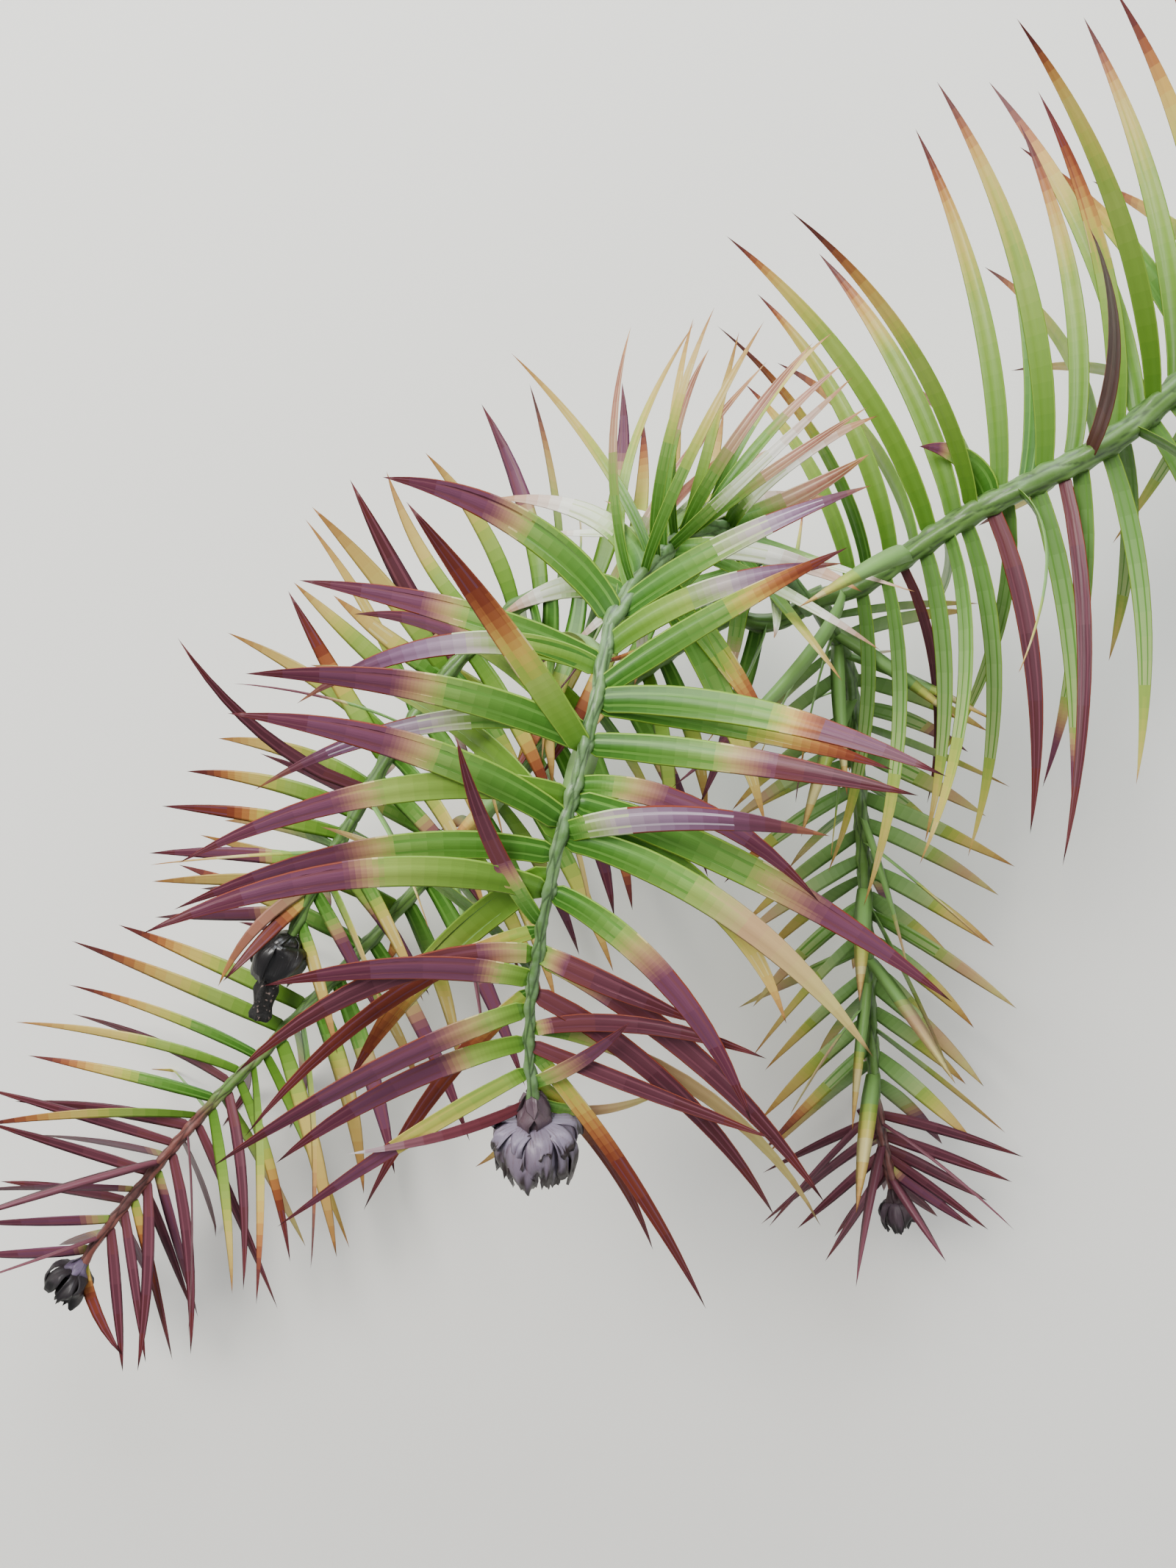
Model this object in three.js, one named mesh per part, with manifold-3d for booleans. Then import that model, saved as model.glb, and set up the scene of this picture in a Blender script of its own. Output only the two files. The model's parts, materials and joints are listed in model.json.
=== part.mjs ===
import * as THREE from 'three';
import { mergeVertices } from 'three/addons/utils/BufferGeometryUtils.js';
import Module from 'manifold-3d';

// A china fir branch as cut, lying on a level surface, in millimetres with +Z up.
// One main shoot forks into four side shoots. Each shoot is a tapering stem with
// flat, pointed needle leaves fused on. They leave the stem in a golden-angle
// spiral and are pulled into a left and a right rank. Dry cones end the shoots.

const wasm = await Module();
wasm.setup();

// Clearances and the fineness of the solids
const gap = 0.3;
const leafGap = 0.35;
const smoothing = 0.05;
const stemSides = 6;
const stemStep = 7;
const leafSteps = 12;
const ringSteps = [0, 3, 7];
const goldenAngle = THREE.MathUtils.degToRad(137.508);

// The leaf blade: its share of the full width at the base, where it is widest,
// how late it narrows to its point, and the depth of its keel at both ends
const baseWidth = 0.5;
const widestAt = 0.22;
const narrowing = 1.35;
const keelDepth = 0.95;
const tipKeel = 0.25;

// How much of its rise a leaf on a stem's upper side keeps, as the fan lies flat
const flatTop = 0.55;

// How early along its length a leaf makes its bend
const bendEase = 0.8;

// How far a leaf strays from the rule: radians for spiral and twist, degrees for
// angle and bend, and shares of the leaf for the rest
const stray = { spiral: 0.12, angle: 7, bend: 8, sag: 0.08, twist: 0.35, length: 0.09, width: 0.07 };

// The bare stub at the cut end of the main shoot
const cutLength = 26;
const cutRadius = 3.5;
const cutSides = 12;

// The short dead stub past the old cone of the upper left shoot
const stubLength = 9;
const stubRadius = 2.4;
const stubWay = new THREE.Vector3(-0.1, -0.99, -0.1).normalize();

// Share of the stub's length and share of its radius there
const stubProfile = [[0, 0.7], [0.3, 1], [0.7, 0.8], [1, 0.9]];

// Each shoot has its stem's course and radii, and the way that its upper side faces.
// Its leaves start and stop a little way from the stem's ends and stand spacing apart.
// turn is where the spiral begins, and ranks pulls it into a left and a right rank.
// Three numbers are a value at the shoot's start, middle and end: length, the angle in
// degrees between leaf and stem in each rank, bend, which turns a leaf towards the
// shoot's tip, and sag, which lets it droop or rise. extras are single leaves that
// leave the rule, each at its share of the stem.
const shoots = {
  main_shoot: {
    course: [
      [129, 89.5, 78], [108, 72.5, 76], [95.5, 62.5, 74],
      [73, 51.5, 68], [55, 40, 60], [46, 37, 56],
    ],
    radii: [3.1, 2.5], up: [0, 0, 1], seed: 11,
    spacing: 1.75, from: 4, until: 3, turn: 0.3,
    length: [70, 70, 60], width: 5.2, ranks: [0.45, 0.45, 0.3],
    left: [128, 122, 104], right: [82, 80, 78], bend: [24, 28, 36], sag: [0, -0.1, -0.25],
    extras: [{ share: 0.64, azimuth: 20, angle: 112, bend: 88, length: 19, width: 6.4 }],
  },
  central_shoot_back: {
    course: [[43.5, 36.5, 56], [33, 46, 66], [20.5, 46, 81], [10.5, 36.5, 95], [3.5, 26, 102]],
    radii: [2.2, 1.8], up: [-0.1, 0.6, 1], seed: 8728,
    spacing: 1.97, from: 3, until: 0.5, turn: -1.26,
    length: [37, 38, 51], width: 4.6, ranks: [0.3, 0, 0.1],
    left: [71, 109, 134], right: [50, 119, 160], bend: [22, 31, 60], sag: [-0.2, 0.3, 0.2],
  },
  central_shoot_front: {
    course: [
      [3.5, 26, 102], [0.5, 10, 106], [-5, -11.5, 105],
      [-8, -26.5, 100], [-10, -41, 94], [-9.6, -55.5, 87.5],
    ],
    radii: [1.8, 1.2], up: [-0.1, 0.3, 1], seed: 7057,
    spacing: 1.87, from: 0.6, until: 2.5, turn: 4.08,
    length: [55, 61, 49], width: 4.8, ranks: [0.53, 0.43, 0.25],
    left: [123, 126, 80], right: [152, 102, 84], bend: [54, 40, 46], sag: [0.26, -0.4, 0.3],
    extras: [
      { share: 0.3, azimuth: 48, angle: 146, bend: 22, length: 60, width: 5 },
      { share: 0.6, azimuth: 72, angle: 142, bend: 6, length: 46, width: 4 },
      { share: 0.86, azimuth: 190, angle: 42, bend: 10, length: 46, width: 4.6 },
      { share: 0.9, azimuth: 206, angle: 46, bend: 8, length: 60, width: 5 },
      { share: 0.93, azimuth: 165, angle: 104, bend: -16, length: 22, width: 4.6 },
    ],
  },
  right_shoot: {
    course: [[47.5, 34.5, 54], [55, 22.5, 44], [59.5, -9.5, 35], [62.5, -49, 30], [64, -70, 28.5]],
    radii: [1.9, 1.4], up: [0, 0, 1], seed: 41,
    spacing: 2.0, from: 6, until: 0.5, turn: 0.9,
    length: [36, 35, 34], width: 3.7, ranks: [0.3, 0.3, 0.3],
    left: [92, 78, 62], right: [88, 72, 58], bend: [18, 14, 10], sag: [0, 0, -0.2],
  },
  right_tip: {
    course: [[64, -70, 28.5], [65.7, -79.5, 28], [68.3, -91, 27.5]],
    radii: [1.4, 1.1], up: [0, 0, 1], seed: 43,
    spacing: 0.95, from: 0.8, until: 1.5, turn: 2.4,
    length: [34, 30, 19], width: 3.1, ranks: [0.35, 0.35, 0.2],
    left: [72, 58, 40], right: [66, 54, 38], bend: [12, 8, 2], sag: [0, 0, -0.2],
  },
  upper_left_shoot: {
    course: [
      [45.5, 37, 55], [36, 33, 51], [15, 38.5, 47], [-8, 40, 46],
      [-24.5, 28.5, 46], [-41, 7, 45], [-49.5, -7.5, 44],
    ],
    radii: [2.2, 1.6], up: [0, 0, 1], seed: 53,
    spacing: 2.1, from: 4, until: 0.5, turn: 0.2,
    length: [42, 40, 40], width: 3.9, ranks: [0.35, 0.38, 0.38],
    left: [108, 106, 92], right: [84, 82, 76], bend: [16, 26, 26], sag: [0, 0, -0.15],
  },
  upper_left_tip: {
    course: [[-49.5, -7.5, 44], [-57, -20, 42], [-63.5, -32.5, 39.5]],
    radii: [1.6, 1.2], up: [0, 0, 1], seed: 59,
    spacing: 1.5, from: 0.8, until: 1.5, turn: 1.9,
    length: [40, 36, 28], width: 3.7, ranks: [0.35, 0.35, 0.25],
    left: [84, 70, 50], right: [76, 62, 40], bend: [16, 12, 6], sag: [0, 0, -0.2],
  },
  lower_left_shoot: {
    course: [
      [27.5, 34, 49], [13, 25, 41], [-8, 9, 35.5],
      [-24, -8, 33], [-48.5, -35, 31], [-70, -57.5, 30],
    ],
    radii: [2.0, 1.5], up: [0, 0, 1], seed: 61,
    spacing: 2.3, from: 6, until: 0.5, turn: 0.5,
    length: [40, 46, 50], width: 4.3, ranks: [0.38, 0.4, 0.4],
    left: [92, 84, 76], right: [84, 76, 66], bend: [18, 16, 14], sag: [0, 0, -0.15],
  },
  lower_left_tip: {
    course: [[-70, -57.5, 30], [-85, -72.5, 29], [-103, -93.5, 28], [-113, -107, 27.3]],
    radii: [1.5, 1.1], up: [0, 0, 1], seed: 67,
    spacing: 1.7, from: 0.8, until: 1.5, turn: 1.25,
    length: [48, 44, 28], width: 3.7, ranks: [0.4, 0.38, 0.25],
    left: [74, 64, 44], right: [68, 58, 40], bend: [14, 10, 4], sag: [0, 0, -0.2],
  },
};

// A cone's core: share of its radius and share of its length, from shoulder to tip
const coreProfile = [[0.62, 0.3], [0.9, 0.55], [0.75, 0.8], [0, 0.9]];
const coreSides = 10;

// One scale of a cone: share of the length, share of the radius and thickness there
const scaleProfile = [[0.25, 0.4, 0.1], [0.55, 0.72, 0.21], [0.85, 0.8, 0.17]];
const scaleSides = 5;
const scaleWidening = 1.4;

// Each cone: the shoot that it ends, its size, its scales and how they point
const cones = {
  central_cone: { ends: 'central_shoot_front', length: 17, radius: 7.2, scales: 13, flare: 0.5 },
  right_cone: { ends: 'right_tip', length: 9, radius: 4.3, scales: 7, flare: 0.4 },
  lower_left_cone: { ends: 'lower_left_tip', length: 10, radius: 5, scales: 7, flare: 0.4 },
  upper_left_cone: { ends: 'upper_left_tip', length: 10.5, radius: 5.4, scales: 7, flare: 0.2 },
};

const finishes = {
  bark: { color: 0x4f6b34, roughness: 0.7 },
  leaf: { color: 0x86a84a, roughness: 0.45 },
  dead_leaf: { color: 0x6b3a34, roughness: 0.55 },
  cone: { color: 0x7d7078, roughness: 0.75 },
  old_cone: { color: 0x241d1a, roughness: 0.4 },
};

// Small even random numbers, the same on every run
function seeded(seed) {
  let state = seed;
  return () => {
    state = (state + 0x6d2b79f5) | 0;
    let mixed = Math.imul(state ^ (state >>> 15), 1 | state);
    mixed = (mixed + Math.imul(mixed ^ (mixed >>> 7), 61 | mixed)) ^ mixed;
    return ((mixed ^ (mixed >>> 14)) >>> 0) / 4294967296;
  };
}

// A value that runs from start to middle to end along a shoot
function along(values, share) {
  const [start, middle, end] = values;
  if (share < 0.5) {
    return THREE.MathUtils.lerp(start, middle, share * 2);
  }
  return THREE.MathUtils.lerp(middle, end, share * 2 - 1);
}

// A closed surface through rings of points; a ring of one point closes to a tip
function loft(rings) {
  const points = rings.flat();
  const starts = rings.map((ring, i) => rings.slice(0, i).flat().length);
  const faces = [];
  for (let i = 0; i + 1 < rings.length; i += 1) {
    const sides = rings[i].length;
    for (let k = 0; k < sides; k += 1) {
      const next = (k + 1) % sides;
      const a = starts[i] + k;
      const b = starts[i] + next;
      if (rings[i + 1].length === 1) {
        faces.push(a, b, starts[i + 1]);
      } else {
        faces.push(a, b, starts[i + 1] + next, a, starts[i + 1] + next, starts[i + 1] + k);
      }
    }
  }
  const capEnds = [[0, true]];
  if (rings.at(-1).length > 1) {
    capEnds.push([rings.length - 1, false]);
  }
  for (const [ring, reversed] of capEnds) {
    for (let k = 1; k + 1 < rings[ring].length; k += 1) {
      const a = starts[ring];
      faces.push(a, a + (reversed ? k + 1 : k), a + (reversed ? k : k + 1));
    }
  }
  const geometry = new THREE.BufferGeometry().setFromPoints(points);
  geometry.setIndex(faces);
  return geometry;
}

function toSolid(geometry) {
  const plain = geometry.clone();
  plain.deleteAttribute('normal');
  plain.deleteAttribute('uv');
  const merged = mergeVertices(plain, 1e-5);
  return new wasm.Manifold(new wasm.Mesh({
    numProp: 3,
    vertProperties: new Float32Array(merged.attributes.position.array),
    triVerts: new Uint32Array(merged.index.array),
  }));
}

function toGeometry(solid) {
  const { vertProperties, triVerts } = solid.getMesh();
  const geometry = new THREE.BufferGeometry();
  geometry.setAttribute('position', new THREE.BufferAttribute(vertProperties, 3));
  geometry.setIndex(new THREE.BufferAttribute(triVerts, 1));
  const faceted = geometry.toNonIndexed();
  faceted.computeVertexNormals();
  return faceted;
}

function stemCurve(shoot) {
  const points = shoot.course.map((point) => new THREE.Vector3(...point));
  return new THREE.CatmullRomCurve3(points, false, 'catmullrom', 0.5);
}

// The way the stem runs at a spot, the side towards the viewer and the left side
function stemFrame(shoot, curve, share) {
  const tangent = curve.getTangentAt(share);
  const upward = new THREE.Vector3(...shoot.up);
  upward.addScaledVector(tangent, -upward.dot(tangent)).normalize();
  const leftward = new THREE.Vector3().crossVectors(tangent, upward);
  return { tangent, upward, leftward };
}

// A tapering stem, made wider by margin where it is used to cut its neighbours clear
function stemSolid(shoot, margin = 0) {
  const curve = stemCurve(shoot);
  const steps = Math.ceil(curve.getLength() / stemStep);
  const rings = [];
  for (let i = 0; i <= steps; i += 1) {
    const share = i / steps;
    const { tangent, upward, leftward } = stemFrame(shoot, curve, share);
    const beyond = margin * ((i === steps) - (i === 0));
    const centre = curve.getPointAt(share).addScaledVector(tangent, beyond);
    const radius = THREE.MathUtils.lerp(...shoot.radii, share) + margin;
    const ring = [];
    for (let k = 0; k < stemSides; k += 1) {
      const angle = (k / stemSides) * Math.PI * 2;
      ring.push(centre.clone()
        .addScaledVector(leftward, -Math.cos(angle) * radius)
        .addScaledVector(upward, Math.sin(angle) * radius));
    }
    rings.push(ring);
  }
  return toSolid(loft(rings));
}

// Half the leaf's width at a share of its length
function halfWidth(leaf, t) {
  const full = leaf.width / 2;
  if (t < widestAt) {
    return full * THREE.MathUtils.lerp(baseWidth, 1, t / widestAt);
  }
  return full * (1 - ((t - widestAt) / (1 - widestAt)) ** narrowing);
}

// The leaves of one shoot: where each starts, how it leaves the stem and how it bends
function planLeaves(shoot) {
  const curve = stemCurve(shoot);
  const total = curve.getLength();
  const random = seeded(shoot.seed);
  const wobble = (size) => (random() - 0.5) * 2 * size;
  const leaves = [];
  const count = Math.floor((total - shoot.from - shoot.until) / shoot.spacing) + 1;
  for (let i = 0; i < count; i += 1) {
    const share = (shoot.from + i * shoot.spacing) / total;
    const spiral = shoot.turn + i * goldenAngle + wobble(stray.spiral);
    const azimuth = spiral - along(shoot.ranks, share) * Math.sin(2 * spiral);
    const leftShare = (1 + Math.cos(azimuth)) / 2;
    const angle = THREE.MathUtils.lerp(along(shoot.right, share), along(shoot.left, share), leftShare);
    leaves.push({
      share,
      azimuth,
      angle: THREE.MathUtils.degToRad(angle + wobble(stray.angle)),
      bend: THREE.MathUtils.degToRad(along(shoot.bend, share) + wobble(stray.bend)),
      sag: along(shoot.sag, share) + wobble(stray.sag),
      twist: wobble(stray.twist),
      length: along(shoot.length, share) * (1 + wobble(stray.length)),
      width: shoot.width * (1 + wobble(stray.width)),
    });
  }
  for (const extra of shoot.extras ?? []) {
    leaves.push({
      ...extra,
      azimuth: THREE.MathUtils.degToRad(extra.azimuth),
      angle: THREE.MathUtils.degToRad(extra.angle),
      bend: THREE.MathUtils.degToRad(extra.bend),
      sag: 0,
      twist: 0,
    });
  }
  return leaves;
}

// The leaf's middle line and its blade's width and face directions at each step
function leafLine(shoot, leaf) {
  const curve = stemCurve(shoot);
  const { tangent, upward, leftward } = stemFrame(shoot, curve, leaf.share);
  const rise = Math.sin(leaf.azimuth);
  const outward = leftward.clone().multiplyScalar(Math.cos(leaf.azimuth))
    .addScaledVector(upward, rise > 0 ? rise * flatTop : rise).normalize();
  const facing = tangent.clone().multiplyScalar(0.25 + 0.75 * Math.sin(leaf.azimuth) ** 2)
    .addScaledVector(upward, Math.cos(leaf.azimuth) ** 2);
  const line = [];
  let centre = curve.getPointAt(leaf.share);
  for (let step = 0; step <= leafSteps; step += 1) {
    const t = step / leafSteps;
    const angle = leaf.angle - leaf.bend * t ** bendEase;
    const way = tangent.clone().multiplyScalar(Math.cos(angle)).addScaledVector(outward, Math.sin(angle));
    way.z += leaf.sag * t;
    way.normalize();
    const across = new THREE.Vector3().crossVectors(way, facing).normalize();
    across.applyAxisAngle(way, leaf.twist * t);
    const face = new THREE.Vector3().crossVectors(across, way);
    const keel = THREE.MathUtils.lerp(keelDepth, tipKeel, t);
    const half = halfWidth(leaf, t);
    const lowest = half * Math.abs(across.z) + keel * Math.abs(face.z);
    line.push({ centre: centre.clone().setZ(Math.max(centre.z, lowest)), across, face, half, keel });
    centre = centre.addScaledVector(way, leaf.length / leafSteps);
  }
  return line;
}

function leafSolid(line) {
  const rings = ringSteps.map((step) => {
    const { centre, across, face, half, keel } = line[step];
    return [
      centre.clone().addScaledVector(across, half),
      centre.clone().addScaledVector(face, -keel),
      centre.clone().addScaledVector(across, -half),
    ];
  });
  rings.push([line.at(-1).centre]);
  return toSolid(loft(rings));
}

function near(boxA, boxB) {
  return boxA.clone().expandByScalar(leafGap).intersectsBox(boxB);
}

function boxOf(solid) {
  const { min, max } = solid.boundingBox();
  return new THREE.Box3(new THREE.Vector3(...min), new THREE.Vector3(...max));
}

// A dry cone: a spindle on the shoot's end with scales that point on past it
function coneSolid(cone) {
  const shoot = shoots[cone.ends];
  const curve = stemCurve(shoot);
  const { tangent } = stemFrame(shoot, curve, 1);
  const neck = shoot.radii[1];
  const { length, radius } = cone;
  const collar = [[0, 0], [neck, 0], [neck * 1.5, length * 0.16]];
  const core = coreProfile.map(([wide, high]) => [wide * radius, high * length]);
  const profile = [...collar, ...core].map(([x, y]) => new THREE.Vector2(x, y));
  const parts = [toSolid(new THREE.LatheGeometry(profile, coreSides))];
  for (let i = 0; i < cone.scales; i += 1) {
    parts.push(toSolid(coneScale(cone, i)));
  }
  const turn = new THREE.Quaternion().setFromUnitVectors(new THREE.Vector3(0, 1, 0), tangent);
  const place = curve.getPointAt(1).addScaledVector(tangent, gap);
  const matrix = new THREE.Matrix4().compose(place, turn, new THREE.Vector3(1, 1, 1));
  return wasm.Manifold.union(parts).transform(matrix.elements);
}

// One scale of a cone, a slim spindle that leans out from the axis, later ones nearer it
function coneScale(cone, index) {
  const { length, radius, flare } = cone;
  const angle = index * goldenAngle;
  const outward = new THREE.Vector3(Math.cos(angle), 0, Math.sin(angle));
  const across = new THREE.Vector3(-Math.sin(angle), 0, Math.cos(angle));
  const inner = index / cone.scales;
  const rings = scaleProfile.map(([high, out, thick]) => {
    const reach = radius * out * (1 - inner * 0.5);
    const middle = outward.clone().multiplyScalar(reach * (1 + flare * (high - 0.5))).setY(length * high);
    const ring = [];
    for (let k = 0; k < scaleSides; k += 1) {
      const turn = (k / scaleSides) * Math.PI * 2;
      ring.push(middle.clone()
        .addScaledVector(outward, Math.cos(turn) * radius * thick)
        .addScaledVector(across, -Math.sin(turn) * radius * thick * scaleWidening));
    }
    return ring;
  });
  rings.push([outward.clone().multiplyScalar(radius * 0.8 * (1 - inner * 0.6)).setY(length)]);
  return loft(rings);
}

// The bare stub: straight on from the main shoot's thick end to its flat cut
function cutStub() {
  const shoot = shoots.main_shoot;
  const curve = stemCurve(shoot);
  const { tangent, upward, leftward } = stemFrame(shoot, curve, 0);
  const rings = [[-gap - cutLength, cutRadius], [-gap, shoot.radii[0]]].map(([back, radius]) => {
    const centre = curve.getPointAt(0).addScaledVector(tangent, back);
    const ring = [];
    for (let k = 0; k < cutSides; k += 1) {
      const angle = (k / cutSides) * Math.PI * 2;
      ring.push(centre.clone()
        .addScaledVector(leftward, -Math.cos(angle) * radius)
        .addScaledVector(upward, Math.sin(angle) * radius));
    }
    return ring;
  });
  return toSolid(loft(rings));
}

// The dead stub hangs straight on from the tip of the old cone
function deadStub(cone) {
  const curve = stemCurve(shoots[cone.ends]);
  const { tangent, upward, leftward } = stemFrame(shoots[cone.ends], curve, 1);
  const top = curve.getPointAt(1).addScaledVector(tangent, cone.length + 2 * gap);
  const rings = stubProfile.map(([share, wide]) => {
    const ring = [];
    for (let k = 0; k < stemSides; k += 1) {
      const angle = (k / stemSides) * Math.PI * 2;
      ring.push(top.clone()
        .addScaledVector(stubWay, share * stubLength)
        .addScaledVector(leftward, -Math.cos(angle) * stubRadius * wide)
        .addScaledVector(upward, Math.sin(angle) * stubRadius * wide));
    }
    return ring;
  });
  return toSolid(loft(rings));
}

function largestOf(solid) {
  const bodies = solid.decompose();
  return bodies.sort((a, b) => b.volume() - a.volume())[0];
}

// All stems first, in order of size, each cut clear of those before it
const stems = {};
for (const [name, shoot] of Object.entries(shoots)) {
  let stem = stemSolid(shoot);
  for (const earlier of Object.keys(stems)) {
    stem = stem.subtract(stemSolid(shoots[earlier], gap));
  }
  stems[name] = largestOf(stem);
}
const solids = {};
for (const [name, cone] of Object.entries(cones)) {
  solids[name] = coneSolid(cone);
}
solids.cut_stem = cutStub();
solids.dead_stub = deadStub(cones.upper_left_cone);

// Leaves are fused on where they clear the other shoots, their leaves and all cones
const kept = [];
const grown = {};
for (const [name, shoot] of Object.entries(shoots)) {
  const strangers = Object.entries({ ...stems, ...solids })
    .filter(([other]) => other !== name)
    .map(([, solid]) => ({ solid, box: boxOf(solid), home: '' }));
  const parts = [stems[name]];
  const leaves = planLeaves(shoot).map((leaf) => leafSolid(leafLine(shoot, leaf)));
  for (const solid of leaves) {
    const box = boxOf(solid);
    const blocked = [...strangers, ...kept].some((other) => (
      other.home !== name && near(box, other.box) && solid.minGap(other.solid, leafGap) < leafGap
    ));
    if (!blocked) {
      kept.push({ solid, box, home: name });
      parts.push(solid);
    }
  }
  grown[name] = wasm.Manifold.union(parts).simplify(smoothing);
}

const group = new THREE.Group();

function addPiece(name, solid, finish) {
  const material = new THREE.MeshStandardMaterial({ ...finish, metalness: 0 });
  const piece = new THREE.Mesh(toGeometry(solid), material);
  piece.name = name;
  group.add(piece);
}

addPiece('cut_stem', solids.cut_stem, finishes.bark);
addPiece('dead_stub', solids.dead_stub, finishes.old_cone);
for (const name of Object.keys(shoots)) {
  addPiece(name, grown[name], name.endsWith('_tip') ? finishes.dead_leaf : finishes.leaf);
}
for (const name of Object.keys(cones)) {
  addPiece(name, solids[name], name === 'upper_left_cone' ? finishes.old_cone : finishes.cone);
}

// The origin is under the middle of the branch, on the surface that it lies on
const box = new THREE.Box3().setFromObject(group, true);
group.position.set(-(box.min.x + box.max.x) / 2, -(box.min.y + box.max.y) / 2, -box.min.z);

export default group;
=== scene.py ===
# A cut branch of china fir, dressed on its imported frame: stems, needle leaves and dry cones
import json
import math

import bpy
import numpy as np
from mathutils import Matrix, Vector
from mathutils.kdtree import KDTree


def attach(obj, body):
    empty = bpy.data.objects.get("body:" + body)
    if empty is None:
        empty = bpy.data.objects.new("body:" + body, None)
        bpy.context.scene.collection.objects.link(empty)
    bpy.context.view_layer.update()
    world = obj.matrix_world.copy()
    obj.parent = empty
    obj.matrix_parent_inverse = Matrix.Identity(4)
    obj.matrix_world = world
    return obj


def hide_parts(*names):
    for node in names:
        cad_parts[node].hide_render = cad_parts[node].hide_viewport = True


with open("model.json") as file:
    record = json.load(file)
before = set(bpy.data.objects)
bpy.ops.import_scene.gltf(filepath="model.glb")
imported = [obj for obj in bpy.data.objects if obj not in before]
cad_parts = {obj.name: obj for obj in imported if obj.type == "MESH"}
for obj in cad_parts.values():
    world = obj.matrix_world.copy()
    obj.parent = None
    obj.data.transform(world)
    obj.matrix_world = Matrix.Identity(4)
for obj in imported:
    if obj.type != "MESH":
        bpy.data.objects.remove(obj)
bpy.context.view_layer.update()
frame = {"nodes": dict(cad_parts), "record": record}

mm = 0.001
clearance = 0.3
goldenAngle = math.radians(137.508)

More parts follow.
